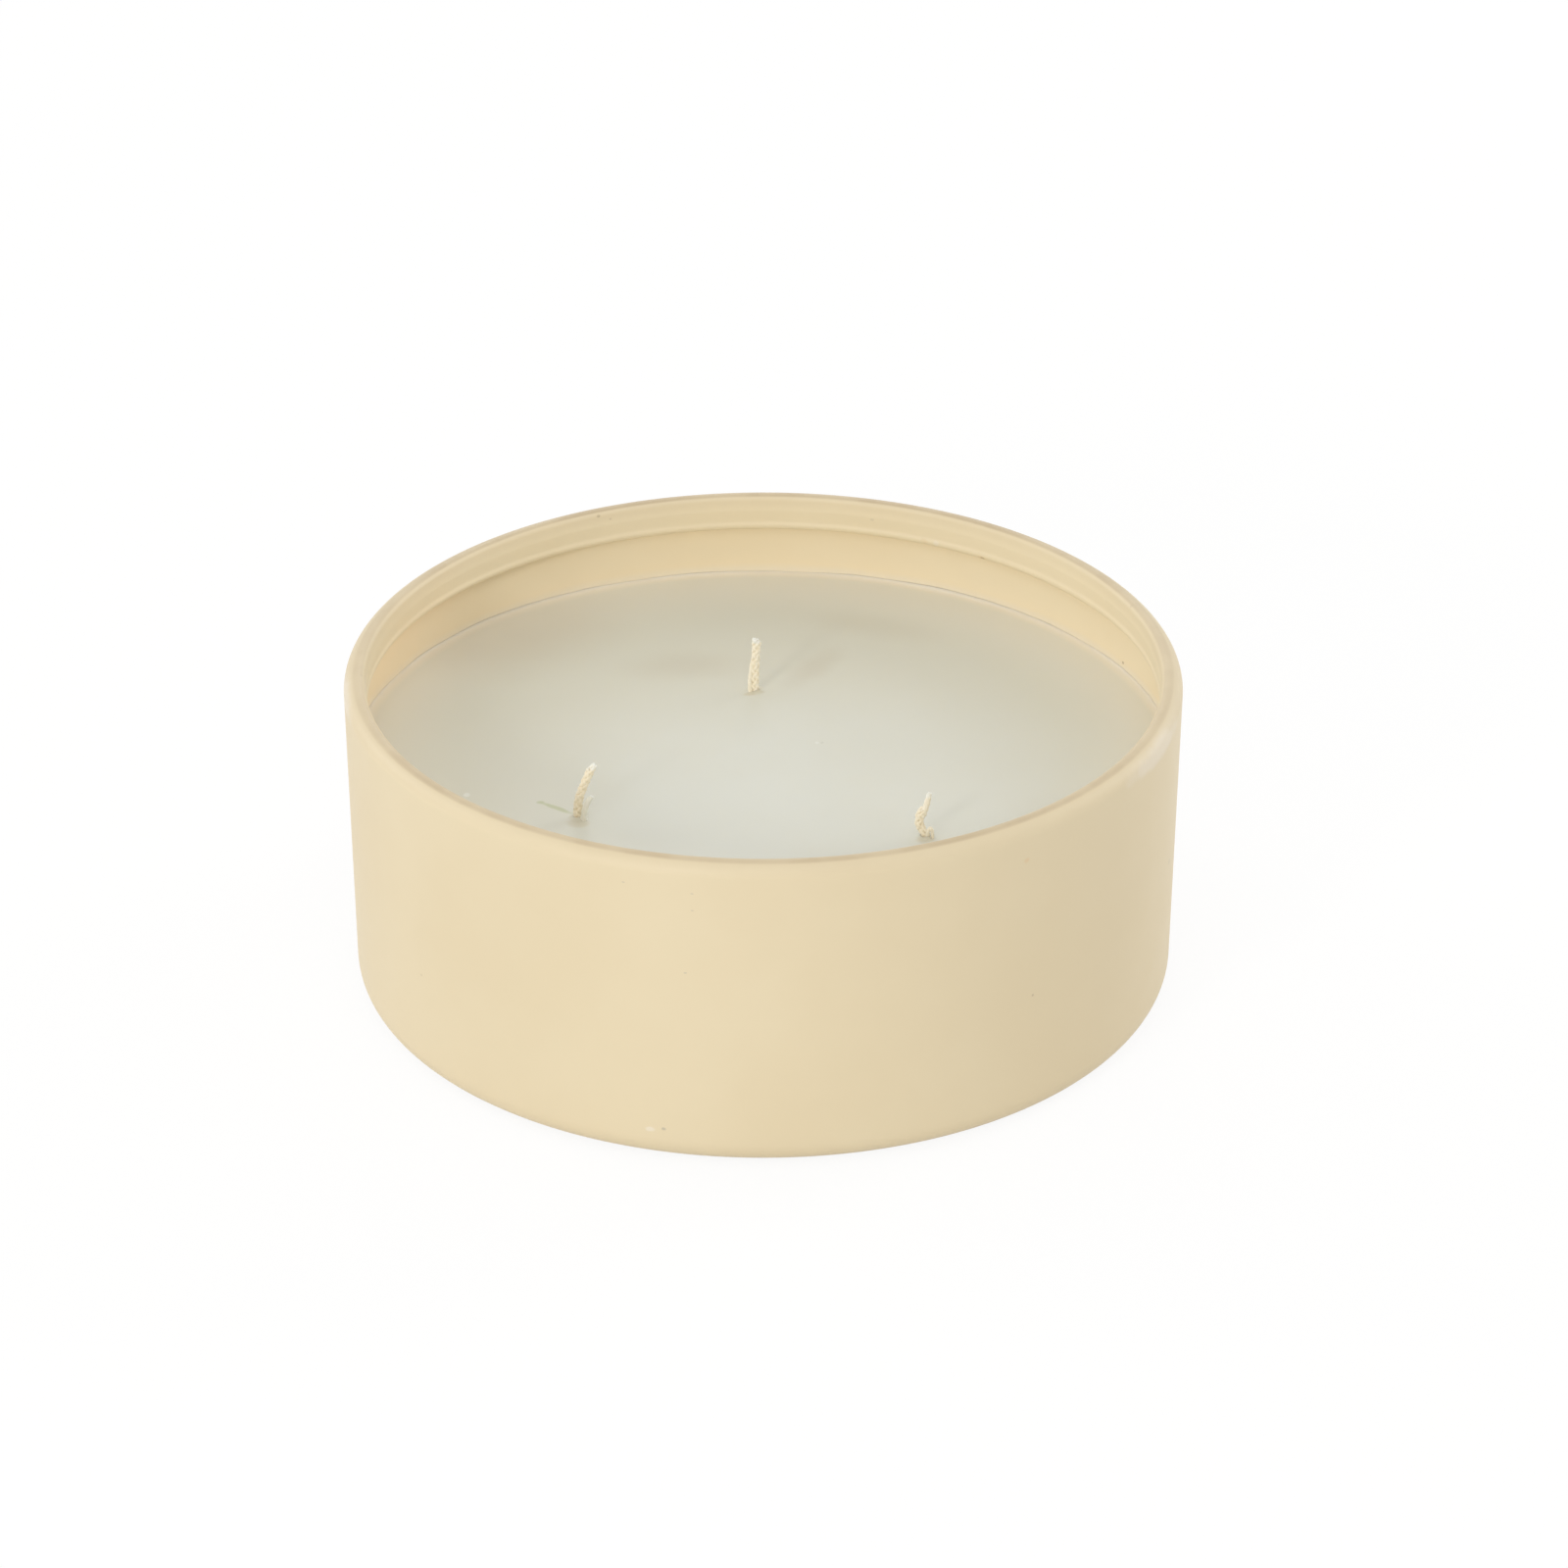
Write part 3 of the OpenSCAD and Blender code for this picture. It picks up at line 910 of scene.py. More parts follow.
def build_wick(place):
    """One wick: a core in the wax and its sustainer, a braid above, loose yarns and fuzz."""
    wicks, wax = settings("wicks"), settings("wax")
    form = WaxForm(wax, TubForm(settings("tub")))
    axis = wick_axis(place)
    level = form.level(axis.to_2d().length)
    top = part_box("wick_" + place)[1].z
    rise = top - level
    line = WickLine(axis, level + wax.cling, top, BENDS[place])
    seed = PLACES.index(place) + 1
    cut, slant = CUTS[place]
    shell, marks = Shell(), []
    core = wicks.diameter / 2
    foot = level - wicks.bury
    centres = [line.at_height(height) for height in (axis.z, foot, level, level + wax.cling * CORE_RISE)]
    add_yarn(shell, marks, centres, [core] * 3 + [core * CORE_SLIM], sides=CORE_SIDES)
    add_braid(shell, marks, wicks, line, foot, level + rise * cut, slant, seed)
    for points, width, waxed in LOOSE[place]:
        loose = Curve([(axis.x + x * MM, axis.y + y * MM, level + z * MM) for x, y, z in points])
        path = [loose.at(step / STRAND_STEPS) for step in range(STRAND_STEPS + 1)]
        add_strand(shell, marks, path, width * MM, waxed)
    add_fuzz(shell, marks, wicks, line, level, level + rise * cut, seed)
    piece = shell.piece("braid_" + place)
    keep(piece, "yarn", [part for point in marks for part in point[:3]], "FLOAT_VECTOR", "vector")
    keep(piece, "waxed", [point[3] for point in marks])
    stand_for(piece, yarn_material(wicks, place, top), "cotton_braid", "wick_" + place)
    return piece


def put(tree, kind, sockets=None, **changes):
    """Adds a node with its changes. Each socket gets a value, or another node's output."""
    node = tree.nodes.new(kind)
    for name, value in changes.items():
        setattr(node, name, value)
    for socket, value in (sockets or {}).items():
        if isinstance(value, bpy.types.NodeSocket):
            tree.links.new(value, node.inputs[socket])
        else:
            node.inputs[socket].default_value = value
    return node


def maths(tree, operation, first, second=0.0, clamp=False):
    """The result of one sum on two values."""
    node = put(tree, "ShaderNodeMath", {0: first, 1: second}, operation=operation, use_clamp=clamp)
    return node.outputs[0]


def remap(tree, value, low, high, to_low=0.0, to_high=1.0):
    """A value moved from one range to another, and kept inside it."""
    node = put(
        tree, "ShaderNodeMapRange",
        {"Value": value, "From Min": low, "From Max": high, "To Min": to_low, "To Max": to_high},
        interpolation_type="SMOOTHSTEP"
    )
    return node.outputs["Result"]


# Sockets of a node that mixes colours: factor and both colours, and the mixed one
MIX_INPUTS = (0, 6, 7)
MIX_RESULT = 2


def tint(tree, factor, first, second):
    """Two colours mixed by a factor."""
    node = put(tree, "ShaderNodeMix", data_type="RGBA")
    for socket, value in zip(MIX_INPUTS, (factor, first, second)):
        if isinstance(value, bpy.types.NodeSocket):
            tree.links.new(value, node.inputs[socket])
        elif value is factor:
            node.inputs[socket].default_value = value
        else:
            node.inputs[socket].default_value = (*value, 1)
    return node.outputs[MIX_RESULT]


def place_in(tree):
    """Place on the object, in metres."""
    return put(tree, "ShaderNodeTexCoord").outputs["Object"]


def parts_of(tree, place):
    """The parts of a place, as outputs X, Y and Z."""
    return put(tree, "ShaderNodeSeparateXYZ", {0: place}).outputs


def kept(tree, name, output="Fac"):
    """The values that a piece keeps on its points under a name."""
    return put(tree, "ShaderNodeAttribute", attribute_name=name).outputs[output]


def place_maths(tree, operation, first, second=None, output=0):
    """The result of one sum on two places."""
    sockets = {0: first} if second is None else {0: first, 1: second}
    return put(tree, "ShaderNodeVectorMath", sockets, operation=operation).outputs[output]


def unevenness(tree, place, scale, detail, roughness=0.5):
    """Uneven values over a surface, from 0 to 1."""
    return put(tree, "ShaderNodeTexNoise", {
        "Vector": place, "Scale": scale, "Detail": detail, "Roughness": roughness
    }).outputs["Fac"]


def effect(name, inputs, outputs, draw):
    """A node group that is built once. Inputs and outputs are name and default, and draw fills it."""
    if name in bpy.data.node_groups:
        return bpy.data.node_groups[name]
    tree = bpy.data.node_groups.new(name, "ShaderNodeTree")
    kinds = {float: "NodeSocketFloat", tuple: "NodeSocketColor", Vector: "NodeSocketVector"}
    for label, default in inputs:
        socket = tree.interface.new_socket(name=label, in_out="INPUT", socket_type=kinds[type(default)])
        socket.default_value = (*default, 1) if isinstance(default, tuple) else default
    for label, kind in outputs:
        tree.interface.new_socket(name=label, in_out="OUTPUT", socket_type=kinds[kind])
    entry, end = tree.nodes.new("NodeGroupInput"), tree.nodes.new("NodeGroupOutput")
    for label, value in draw(tree, entry.outputs).items():
        tree.links.new(value, end.inputs[label])
    return tree


# Values of the unevenness between which a cloud and a fibre of yarn begin and are full, and the
# softness of a speck's edge in the size of its cell
CLOUD_EDGES = (0.35, 0.65)
FIBRE_EDGES = (0.35, 0.6)
SPECK_EDGE = 0.02
# Scale of the broad part of a grain, as a share of the fine part's
BROAD_SHARE = 0.12


def cloud_effect():
    """Slow changes of tone between two colours."""
    def draw(tree, given):
        soft = unevenness(tree, place_in(tree), given["Scale"], detail=3.0, roughness=0.55)
        part = remap(tree, soft, *CLOUD_EDGES)
        part = maths(tree, "MULTIPLY", part, given["Amount"])
        return {"Colour": tint(tree, part, given["Main"], given["Second"])}
    return effect(
        "Cloudy tone",
        [("Main", (0.8, 0.8, 0.8)), ("Second", (0.7, 0.7, 0.7)), ("Scale", 30.0), ("Amount", 0.5)],
        [("Colour", tuple)], draw
    )


def grain_effect():
    """Fine unevenness of a surface: a normal, and a roughness that varies with it."""
    def draw(tree, given):
        spot = place_in(tree)
        fine = unevenness(tree, spot, given["Scale"], detail=2.0, roughness=0.6)
        broad = unevenness(tree, spot, maths(tree, "MULTIPLY", given["Scale"], BROAD_SHARE), detail=2.0)
        height = maths(tree, "ADD", fine, maths(tree, "MULTIPLY", broad, given["Swell"]))
        bump = put(tree, "ShaderNodeBump", {
            "Height": height, "Distance": given["Depth"], "Strength": 1.0
        })
        vary = maths(tree, "MULTIPLY", maths(tree, "SUBTRACT", broad, 0.5), given["Patchiness"])
        return {
            "Normal": bump.outputs["Normal"],
            "Roughness": maths(tree, "ADD", given["Roughness"], vary, clamp=True),
        }
    return effect(
        "Fine grain",
        [("Scale", 900.0), ("Depth", 0.00002), ("Swell", 1.0), ("Roughness", 0.5), ("Patchiness", 0.1)],
        [("Normal", Vector), ("Roughness", float)], draw
    )


def speck_effect():
    """Scattered specks as a mask."""
    def draw(tree, given):
        cells = put(tree, "ShaderNodeTexVoronoi", {
            "Vector": place_in(tree), "Scale": given["Scale"], "Randomness": 1.0
        })
        chosen = put(tree, "ShaderNodeSeparateColor", {"Color": cells.outputs["Color"]})
        there = maths(tree, "LESS_THAN", chosen.outputs["Red"], given["Share"])
        size = maths(tree, "MULTIPLY", chosen.outputs["Green"], given["Size"])
        away = maths(tree, "SUBTRACT", cells.outputs["Distance"], size)
        near = remap(tree, away, -SPECK_EDGE, SPECK_EDGE, 1, 0)
        return {"Mask": maths(tree, "MULTIPLY", near, there)}
    return effect(
        "Specks", [("Scale", 200.0), ("Size", 0.1), ("Share", 0.1)], [("Mask", float)], draw
    )


def mark_effect():
    """One mark at a place, turned about the upright axis, with a ragged edge, as a mask."""
    def draw(tree, given):
        spot = place_in(tree)
        offset = place_maths(tree, "SUBTRACT", spot, given["Place"])
        turned = put(
            tree, "ShaderNodeVectorRotate", {"Vector": offset, "Angle": given["Turn"]},
            rotation_type="Z_AXIS", invert=True
        )
        along = place_maths(tree, "DIVIDE", turned.outputs[0], given["Stretch"])
        away = place_maths(tree, "LENGTH", along, output="Value")
        rag = maths(tree, "SUBTRACT", unevenness(tree, spot, given["Grain"], detail=3.0), 0.5)
        ragged = maths(tree, "ADD", away, maths(tree, "MULTIPLY", rag, given["Rag"]))
        return {"Mask": remap(tree, ragged, maths(tree, "SUBTRACT", 1.0, given["Softness"]), 1.0, 1, 0)}
    return effect(
        "Mark",
        [("Place", Vector((0, 0, 0))), ("Turn", 0.0), ("Stretch", Vector((1, 1, 1))), ("Grain", 2000.0),
         ("Rag", 0.6), ("Softness", 0.6)],
        [("Mask", float)], draw
    )


def use(tree, group, **sockets):
    """Places a node group in a material, with its own values or with other nodes' outputs."""
    node = tree.nodes.new("ShaderNodeGroup")
    node.node_tree = group
    for name, value in sockets.items():
        socket = node.inputs[name]
        if isinstance(value, bpy.types.NodeSocket):
            tree.links.new(value, socket)
        elif socket.type == "RGBA":
            socket.default_value = (*value, 1)
        else:
            socket.default_value = value
    return node.outputs


def new_material(name, **plain):
    """A material with a Principled BSDF and its plain values. A low line stands for a name's gap."""
    material = bpy.data.materials.new(name)
    material.use_nodes = True
    tree = material.node_tree
    shader = next(node for node in tree.nodes if node.type == "BSDF_PRINCIPLED")
    for socket, value in plain.items():
        shader.inputs[socket.replace("_", " ")].default_value = value
    return material, tree, shader


def join(tree, shader, **results):
    """Links results to the shader's sockets. A low line stands for a name's gap."""
    for socket, value in results.items():
        tree.links.new(value, shader.inputs[socket.replace("_", " ")])


def surface(tree, shader, tone, **grain):
    """Gives the shader its tone, and a fine grain with its own values."""
    made = use(tree, grain_effect(), **grain)
    join(tree, shader, Base_Color=tone, Roughness=made["Roughness"], Normal=made["Normal"])


def clouds(tree, main, second, scale, amount):
    """A tone with slow clouds of a second one in it."""
    return use(tree, cloud_effect(), Main=main, Second=second, Scale=scale, Amount=amount)["Colour"]


# Marks on the tub: angle from the front to the right, height, half width and half height in
# millimetres, colour, strength, and how many grains of the ragged edge fill a metre
OUTER_MARKS = [
    (-18.5, 55.0, 0.42, 0.15, "dull", 0.55, 2000),
    (-9.3, 54.3, 0.40, 0.15, "dull", 0.50, 2000),
    (-9.3, 51.0, 0.36, 0.15, "dull", 0.45, 2000),
    (-10.3, 38.6, 0.40, 0.17, "dull", 0.50, 2000),
    (-15.4, 6.4, 1.20, 0.60, "chalk_and_sheen", 0.45, 1200),
    (-13.5, 6.8, 0.50, 0.40, "dull", 0.70, 2000),
    (37.1, 53.0, 0.80, 0.60, "stain", 0.35, 1200),
    (77.0, 29.5, 0.45, 0.75, "dull", 0.60, 1500),
    # The two broad chalk marks on the shoulder are mostly a painted highlight, with some chalky scuff.
    (68.0, 57.6, 15.0, 2.40, "chalk_and_sheen", 0.38, 260),
    (-84.0, 57.8, 11.0, 2.00, "chalk_and_sheen", 0.40, 260),
]
INNER_MARKS = [
    (-154.3, 59.2, 0.55, 0.35, "speck", 0.60, 2000),
    (-156.2, 58.2, 0.40, 0.30, "speck", 0.30, 2000),
    (144.9, 53.3, 1.40, 0.75, "stain", 0.45, 1200),
    (144.9, 53.3, 0.70, 0.38, "speck", 0.75, 2000),
    (152.9, 54.0, 0.90, 0.80, "chalk_and_sheen", 0.50, 1500),
    (154.8, 53.9, 1.10, 0.70, "stain", 0.30, 1200),
    (163.3, 56.6, 0.60, 0.35, "dull", 0.40, 2000),
    (116.3, 44.3, 0.40, 0.40, "speck", 0.60, 2000),
    # The broad warm mark is painted warm reflection of the paint on the left inside.
    (-112.0, 52.0, 42.0, 14.0, "warm", 0.85, 100),
    (-87.5, 60.0, 0.55, 0.45, "speck", 0.40, 2000),
    (110.5, 59.7, 0.45, 0.40, "speck", 0.35, 2000),
]
# How far a mark reaches on both sides of its place, at right angles to the surface, in millimetres
MARK_DEPTH = 12
# Marks on the wax: place from the axis to the right and to the back, half length and half width in
# millimetres, direction of the length, colour and strength
WAX_MARKS = [
    (9.7, 5.4, 0.45, 0.60, 0, "bubble", 0.35),
    (10.6, 5.4, 0.40, 0.50, 0, "smudge", 0.35),
    (-52.8, -15.6, 0.80, 1.10, 0, "bubble", 0.45),
    (-36.8, -20.1, 4.60, 0.85, -36, "scratch", 0.70),
    (-39.6, -18.1, 1.00, 0.80, 0, "scratch", 0.65),
    # The cloud marks are painted shade of the left-back wall and of the rear wick, with some mottling.
    (-44.0, 46.0, 30.0, 20.0, 40, "cloud", 0.34),
    (-14.0, 36.0, 18.0, 8.0, 5, "cloud", 0.20),
    (9.0, 35.0, 14.0, 5.0, 58, "cloud", 0.24),
    (20.0, 52.0, 20.0, 7.0, -20, "cloud", 0.14),
    # The foot marks are painted shade round each wick's foot.
    (-1.8, 25.0, 2.4, 1.1, 20, "foot", 0.50),
    (-32.8, -25.9, 2.6, 2.0, 0, "foot", 0.32),
    (28.6, -32.2, 2.2, 1.4, 10, "foot", 0.35),
]
# Softness of a mark's edge, and the half size in millimetres above which the whole mark is soft
MARK_SOFTNESS = 0.6
CLOUD_SIZE = 3
# Grains in a metre of the ragged edge of a mark on the wax that is one millimetre wide on both sides
WAX_MARK_GRAIN = 600


def marked(tree, tone, group, spots):
    """A tone with marks on it: place, turn, half sizes, colour, strength and grain of each."""
    for place, turn, half_sizes, kind, strength, grain in spots:
        soft = 1.0 if min(half_sizes) > CLOUD_SIZE * MM else MARK_SOFTNESS
        mask = use(
            tree, mark_effect(), Place=place, Turn=turn, Stretch=half_sizes, Grain=grain, Softness=soft
        )["Mask"]
        tone = tint(tree, maths(tree, "MULTIPLY", mask, strength), tone, getattr(group, kind))
    return tone


def wall_spots(marks, radius):
    """The marks that are given by their angle and height on the tub's wall."""
    for around, height, wide, high, kind, strength, grain in marks:
        turn = math.radians(around)
        place = Vector((radius * math.sin(turn), -radius * math.cos(turn), height * MM))
        yield place, turn, Vector((wide, MARK_DEPTH, high)) * MM, kind, strength, grain


def wax_spots(form):
    """The marks that are given by their place on the wax's face."""
    for x, y, half_length, half_width, direction, kind, strength in WAX_MARKS:
        place = Vector((x, y, form.level(math.hypot(x, y) * MM) / MM)) * MM
        half_sizes = Vector((half_length, half_width, MARK_DEPTH)) * MM
        yield place, math.radians(direction), half_sizes, kind, strength, WAX_MARK_GRAIN / half_width


# Painted shade over the up-facing crest, stronger at its front and back: its share outside, where on the
# crest it begins and is full, its strength at the rim's left and right and at its front and back, and the
# share of the radius towards those at which that is reached
CREST_SHADE_HAZE = 0.15
CREST_SHADE_SPAN = (0.84, 0.97)
CREST_SHADE_SIDES = (0.45, 0.9)
CREST_SHADE_REACH = 0.8
# Strength of the wax film on the wall, and of the grit in the paint
FILM_STRENGTH = 0.7
GRIT_STRENGTH = 0.35
# Strengths of the paler wax along the wall, which is painted light that lifts the shade there, and of the
# thin wax at it
LIT_EDGE_STRENGTH = 0.42
THIN_STRENGTH = 0.8


def paint_material(tub, wax, form):
    """Satin paint on sheet: slow clouds, a brighter inner paint as painted light, painted shade on the
    crest, grit, marks with a painted shoulder highlight and painted warm reflection, pale scuffs, a wax
    film.
    """
    material, tree, shader = new_material("cream_paint", IOR=1.46, Sheen_Weight=0.04, Sheen_Roughness=0.3)
    mark_radius = form.rim_radius - 2 * tub.sheet
    outer = clouds(tree, tub.paint, tub.old_paint, scale=22.0, amount=0.4)
    # The inner paint is brighter than the outer: painted light.
    inner = clouds(tree, tub.brightened_inner_paint, tub.brightened_inner_old_paint, scale=30.0, amount=0.4)
    crest = kept(tree, "crest")
    spot = parts_of(tree, place_in(tree))
    # Painted shade on the up-facing crest, stronger at the front and back than at the sides.
    from_sides = maths(tree, "ABSOLUTE", maths(tree, "DIVIDE", spot["Y"], form.rim_radius))
    crest_shade_by_side = remap(tree, from_sides, 0, CREST_SHADE_REACH, *CREST_SHADE_SIDES)
    painted_crest_shade = maths(
        tree, "MAXIMUM", remap(tree, crest, 0.0, 0.5, 0, CREST_SHADE_HAZE),
        maths(tree, "MULTIPLY", remap(tree, crest, *CREST_SHADE_SPAN), crest_shade_by_side)
    )
    # thin holds the tone of the painted shade on the crest.
    thin = clouds(tree, tub.crest_shade_paint, tub.paint, scale=90.0, amount=0.35)
    outer = tint(tree, painted_crest_shade, outer, thin)
    outer = marked(tree, outer, tub, wall_spots(OUTER_MARKS, mark_radius))
    wax_line = form.height - wax.drop
    film = remap(tree, spot["Z"], wax_line, wax_line + wax.film, FILM_STRENGTH, 0)
    inner = tint(tree, film, tint(tree, painted_crest_shade, inner, thin), wax.film_tone)
    inner = marked(tree, inner, tub, wall_spots(INNER_MARKS, mark_radius))
    tone = tint(tree, kept(tree, "inside"), outer, inner)
    grit = use(tree, speck_effect(), Scale=150.0, Size=0.10, Share=0.05)["Mask"]
    tone = tint(tree, maths(tree, "MULTIPLY", grit, GRIT_STRENGTH), tone, tub.speck)
    surface(tree, shader, tone, Scale=1100.0, Depth=0.012 * MM, Swell=2.0,
            Roughness=tub.roughness, Patchiness=0.12)
    return material


def wax_material(wax, form):
    """Pale wax: cloudy tone with a painted lit heart that turns to painted shade and warm reflection away
    from it, a painted paler strip along the wall, marks with painted shade, soft light inside it.
    """
    material, tree, shader = new_material(
        "pale_wax", IOR=1.44, Subsurface_Weight=0.25, Subsurface_Scale=0.0012,
        Subsurface_Radius=(1.0, 0.9, 0.7)
    )
    spot = place_in(tree)
    # Painted light and shade: a paler heart off-centre to the front that turns to the warmer shaded tone
    # away from it.
    away = place_maths(tree, "DISTANCE", spot, wax.heart, "Value")
    warm = remap(tree, away, wax.lit_heart_core, wax.lit_heart_reach)
    tone = tint(tree, warm, wax.tone, wax.shade_and_mottle_tone)
    tone = clouds(tree, tone, wax.shade_and_mottle_tone, scale=26.0, amount=0.35)
    radius = place_maths(tree, "LENGTH", place_maths(tree, "MULTIPLY", spot, (1, 1, 0)), output="Value")
    # The first strip is painted light that lifts the shade along the wall; the second is thin wax that
    # shows the paint.
    for width, strength, colour_there in (
        (wax.lit_edge_width, LIT_EDGE_STRENGTH, wax.lit_edge_tone), (wax.thin_width, THIN_STRENGTH, wax.thin_tone)
    ):
        near_wall = remap(tree, radius, form.edge_radius - width, form.edge_radius, 0, strength)
        tone = tint(tree, near_wall, tone, colour_there)
    tone = marked(tree, tone, wax, wax_spots(form))
    surface(tree, shader, tone, Scale=520.0, Depth=0.015 * MM, Swell=1.5,
            Roughness=wax.roughness, Patchiness=0.2)
    return material


# Turn of the fibres along a yarn in a metre, and the heights below the top between which the tip is
# soaked with wax
FIBRE_TWIST = 2600.0
TIP_SOAK = (1.2 * MM, 0.4 * MM)
# Roughness of the dry yarn and of the waxed one
YARN_ROUGHNESS = (0.85, 0.6)


def yarn_material(wicks, place, top):
    """Braided cotton: fibres along the twisted yarn, darker hollows, a cut end stiff with wax."""
    material, tree, shader = new_material("cotton_braid_" + place, Sheen_Weight=0.25, Sheen_Roughness=0.6)
    mark = kept(tree, "yarn", "Vector")
    twist = maths(tree, "MULTIPLY", parts_of(tree, mark)["Z"], FIBRE_TWIST)
    turned = put(tree, "ShaderNodeVectorRotate", {"Vector": mark, "Angle": twist}, rotation_type="Z_AXIS")
    fibres = unevenness(tree, turned.outputs["Vector"], scale=4.0, detail=3.0, roughness=0.7)
    tone = tint(tree, remap(tree, fibres, *FIBRE_EDGES), wicks.old_yarn, wicks.yarn)
    tone = clouds(tree, tone, wicks.old_yarn, scale=700.0, amount=0.45)
    soaked = remap(tree, parts_of(tree, place_in(tree))["Z"], top - TIP_SOAK[0], top - TIP_SOAK[1])
    # The waxed value also paints the left strand and the fibres paler as painted light.
    tip = maths(tree, "MAXIMUM", soaked, kept(tree, "waxed"))
    tone = tint(tree, tip, tone, wicks.waxed_yarn)
    bump = put(tree, "ShaderNodeBump", {"Height": fibres, "Distance": 0.03 * MM})
    rough = remap(tree, tip, 0, 1, *YARN_ROUGHNESS)
    join(tree, shader, Base_Color=tone, Roughness=rough, Normal=bump.outputs["Normal"])
    return material


def darker(colour_there, part):
    """A colour at a share of its strength."""
    return tuple(part * strength for strength in colour_there)


def tinplate_material(metal):
    """Rolled tinplate of the sustainers."""
    material, tree, shader = new_material("rolled_tinplate", Metallic=1.0)
    tone = clouds(tree, metal.tinplate, darker(metal.tinplate, 0.8), scale=300.0, amount=0.5)
    surface(tree, shader, tone, Scale=3000.0, Depth=0.004 * MM, Swell=0.5,
            Roughness=0.35, Patchiness=0.15)
    return material


def hot_melt_material(metal):
    """Milky hot-melt glue."""
    material, tree, shader = new_material("hot_melt_glue", IOR=1.48)
    tone = clouds(tree, metal.hot_melt, darker(metal.hot_melt, 0.85), scale=240.0, amount=0.5)
    surface(tree, shader, tone, Scale=700.0, Depth=0.02 * MM, Swell=1.0,
            Roughness=0.3, Patchiness=0.1)
    return material


def build_inner():
    """Sustainers and glue dots, which keep their CAD shapes."""
    metal = settings("metal")
    finishes = {"sustainer_": tinplate_material(metal), "glue_dot_": hot_melt_material(metal)}
    for name, material in finishes.items():
        for place in PLACES:
            node = frame["nodes"][name + place]
            node.data.materials.clear()
            node.data.materials.append(material)


# Strength of the floor's own white, how much of it the camera sees, and half the floor's width in metres
FLOOR_GLOW = 1.03
FLOOR_SEEN = 0.86
FLOOR_HALF = 8.0


def floor_material(stage):
    """Pale floor that looks nearly white to the camera and keeps the object's soft shadow."""
    material, tree, shader = new_material("pale_floor", Roughness=0.8)
    tone = clouds(tree, stage.floor, darker(stage.floor, 0.97), scale=3.0, amount=0.5)
    join(tree, shader, Base_Color=tone)
    glow = put(tree, "ShaderNodeEmission", {"Color": (1, 1, 1, 1), "Strength": FLOOR_GLOW})
    seen = maths(tree, "MULTIPLY", seen_by_camera(tree), FLOOR_SEEN)
    mix = put(tree, "ShaderNodeMixShader", {0: seen, 1: shader.outputs[0], 2: glow.outputs[0]})
    end = next(node for node in tree.nodes if node.type == "OUTPUT_MATERIAL")
    tree.links.new(mix.outputs[0], end.inputs["Surface"])
    return material


def seen_by_camera(tree):
    """One where a ray comes straight from the camera, or by way of a mirror or glass."""
    path = put(tree, "ShaderNodeLightPath").outputs
    seen = maths(tree, "MAXIMUM", path["Is Camera Ray"], path["Is Glossy Ray"])
    return maths(tree, "MAXIMUM", seen, path["Is Transmission Ray"])


# Lamps: name, place round the object and height as angles, distance, size and strength in watts
LAMPS = [
    ("left_front", -30, 20, 1.3, 0.25, 4.1),
    ("left_back", -120, 20, 1.3, 0.6, 2.5),
    ("right_back", 120, 20, 1.3, 0.6, 3.8),
    ("front_soft", 0, 42, 1.3, 0.6, 1.4),
    ("top_soft", 0, 75, 1.3, 0.6, 1.3),
    ("back_soft", 180, 20, 1.3, 0.6, 1.0),
]
# Strength of the white room on the object. The camera sees it at 1.
WORLD_LIGHT = 0.636
# Width of the picture's side in the camera, in millimetres, and the distances that it sees, in metres
SENSOR = 36.0
NEAREST = 0.05
FARTHEST = 50.0


def add_lamp(name, azimuth, elevation, distance, size, power):
    """A round soft lamp that shines at the tub's middle."""
    lamp = bpy.data.lights.new(name, "AREA")
    lamp.shape, lamp.size, lamp.energy = "DISK", size, power
    lit = bpy.data.objects.new(name, lamp)
    aim = Vector((0, 0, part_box("container")[1].z / 2))
    side, up = math.radians(azimuth), math.radians(elevation)
    back = Vector((math.sin(side) * math.cos(up), -math.cos(side) * math.cos(up), math.sin(up)))
    lit.location = aim + back * distance
    lit.rotation_euler = back.to_track_quat("Z", "Y").to_euler()
    bpy.context.scene.collection.objects.link(lit)


def build_stage():
    """Floor, backdrop, lamps and camera."""
    stage = settings("stage")
    corners = [(x * FLOOR_HALF, y * FLOOR_HALF, 0) for x, y in ((-1, -1), (1, -1), (1, 1), (-1, 1))]
    floor = mesh_object("floor", corners, [(0, 1, 2, 3)])
    floor.data.materials.append(floor_material(stage))
    floor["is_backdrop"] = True
    for lamp in LAMPS:
        add_lamp(*lamp)
    scene = bpy.context.scene
    world = bpy.data.worlds.new("pale_room")
    world.use_nodes = True
    tree = world.node_tree
    tree.nodes.clear()
    strength = remap(tree, seen_by_camera(tree), 0, 1, WORLD_LIGHT, 1.0)
    sky = put(tree, "ShaderNodeBackground", {"Color": (1, 1, 1, 1), "Strength": strength})
    end = put(tree, "ShaderNodeOutputWorld")
    tree.links.new(sky.outputs[0], end.inputs["Surface"])
    scene.world = world
    scene.view_settings.view_transform = "Standard"
    scene.camera = add_camera(stage)


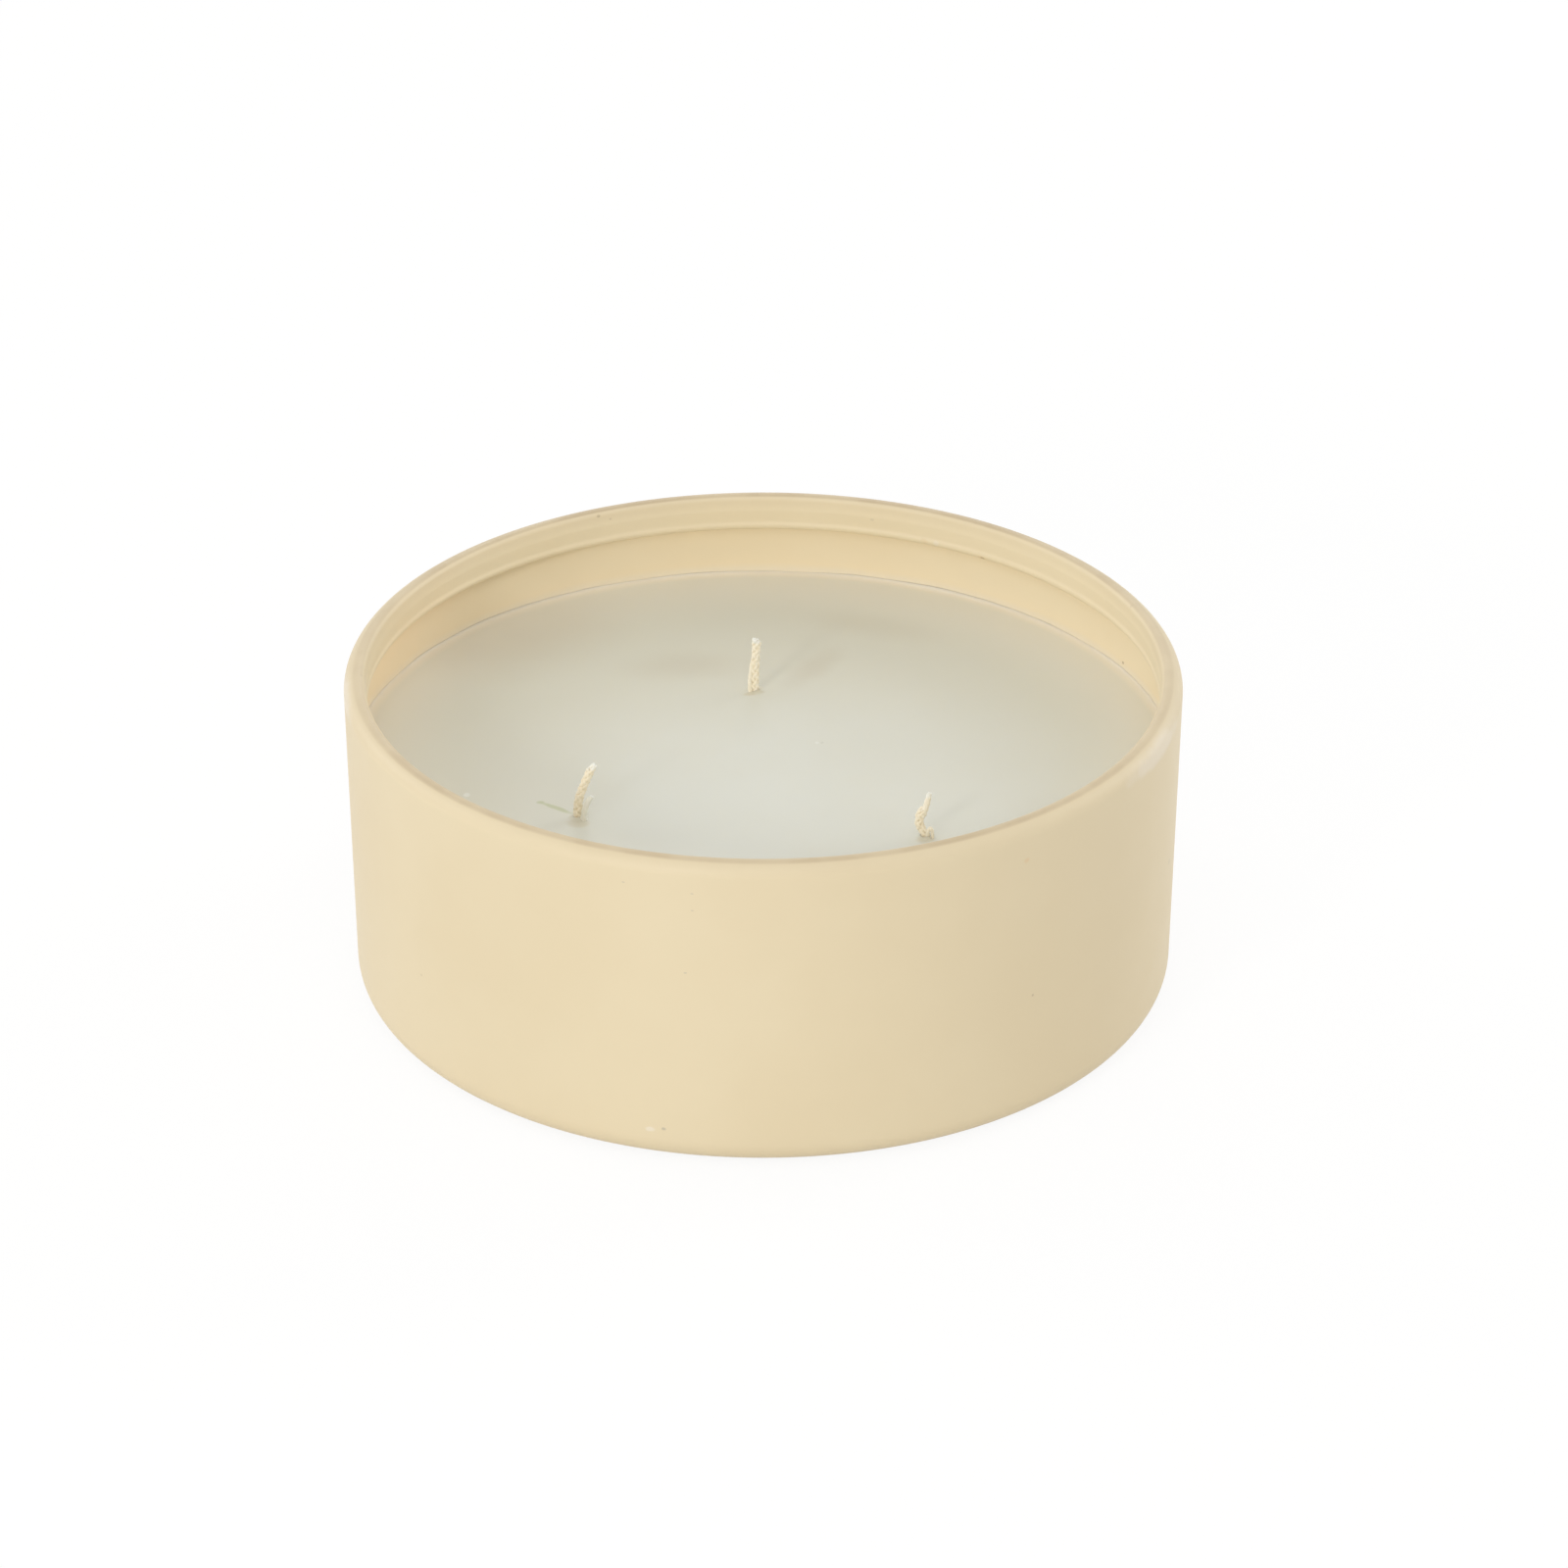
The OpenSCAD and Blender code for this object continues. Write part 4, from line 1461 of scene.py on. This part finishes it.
def add_camera(stage):
    """The camera looks at the rim's middle and keeps it where the picture has it."""
    aim = Vector((0, 0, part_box("container")[1].z))
    up = stage.elevation
    back = Vector((0, -math.cos(up), math.sin(up)))
    lens = bpy.data.cameras.new("camera")
    lens.lens, lens.sensor_width = stage.lens, SENSOR
    lens.clip_start, lens.clip_end = NEAREST, FARTHEST
    camera = bpy.data.objects.new("camera", lens)
    bpy.context.scene.collection.objects.link(camera)
    camera.location = aim + back * stage.distance
    width = SENSOR / stage.lens
    in_camera = Vector((stage.aim[0] * width, stage.aim[1] * width, -1)).normalized()
    yaw = math.atan2(in_camera.x, -in_camera.z)
    pitch = math.asin(in_camera.y)
    level = (-back).to_track_quat("-Z", "Y").to_matrix()
    turned = level @ Matrix.Rotation(yaw, 3, "Y") @ Matrix.Rotation(-pitch, 3, "X")
    camera.rotation_mode = "QUATERNION"
    camera.rotation_quaternion = turned.to_quaternion()
    return camera


class CANDLE_OT_tub(bpy.types.Operator):
    """Builds the folded and painted tub"""
    bl_idname = "candle.tub"
    bl_label = "Tub"

    def execute(self, context):
        build_tub()
        return {"FINISHED"}


class CANDLE_OT_wax(bpy.types.Operator):
    """Builds the wax casting"""
    bl_idname = "candle.wax"
    bl_label = "Wax"

    def execute(self, context):
        build_wax()
        return {"FINISHED"}


class CANDLE_OT_wicks(bpy.types.Operator):
    """Builds the three braided wicks"""
    bl_idname = "candle.wicks"
    bl_label = "Wicks"

    def execute(self, context):
        for place in PLACES:
            build_wick(place)
        return {"FINISHED"}


class CANDLE_OT_inner(bpy.types.Operator):
    """Finishes the sustainers and glue dots inside the wax"""
    bl_idname = "candle.inner"
    bl_label = "Inner pieces"

    def execute(self, context):
        build_inner()
        return {"FINISHED"}


class CANDLE_OT_stage(bpy.types.Operator):
    """Sets up floor, lamps and camera"""
    bl_idname = "candle.stage"
    bl_label = "Stage"

    def execute(self, context):
        build_stage()
        return {"FINISHED"}


OPERATORS = (CANDLE_OT_tub, CANDLE_OT_wax, CANDLE_OT_wicks, CANDLE_OT_inner, CANDLE_OT_stage)
GROUPS = {
    "tub": CandleTub, "wax": CandleWax, "wicks": CandleWicks, "metal": CandleMetal, "stage": CandleStage
}


class CANDLE_PT_panel(bpy.types.Panel):
    """Lists the candle's values and builders"""
    bl_idname = "CANDLE_PT_panel"
    bl_label = "Container candle"
    bl_space_type = "VIEW_3D"
    bl_region_type = "UI"
    bl_category = "Candle"

    def draw(self, context):
        for name, group in GROUPS.items():
            box = self.layout.box()
            for value in group.__annotations__:
                box.prop(settings(name), value)
        for made in OPERATORS:
            self.layout.operator(made.bl_idname)


def register():
    """Adds the values, builders and panel."""
    for name, group in GROUPS.items():
        bpy.utils.register_class(group)
        setattr(bpy.types.Scene, "candle_" + name, bpy.props.PointerProperty(type=group))
    for made in OPERATORS + (CANDLE_PT_panel,):
        bpy.utils.register_class(made)


def unregister():
    """Takes them out again."""
    for made in (CANDLE_PT_panel,) + OPERATORS[::-1]:
        bpy.utils.unregister_class(made)
    for name, group in GROUPS.items():
        delattr(bpy.types.Scene, "candle_" + name)
        bpy.utils.unregister_class(group)


def main():
    """Builds the candle and its stage."""
    register()
    bpy.ops.candle.tub()
    bpy.ops.candle.wax()
    bpy.ops.candle.wicks()
    bpy.ops.candle.inner()
    bpy.ops.candle.stage()
    boxes = {"cad": CAD_BOX, "visual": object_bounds()}
    {name: [list(corner) for corner in box] for name, box in boxes.items()}


if __name__ == "__main__":
    main()
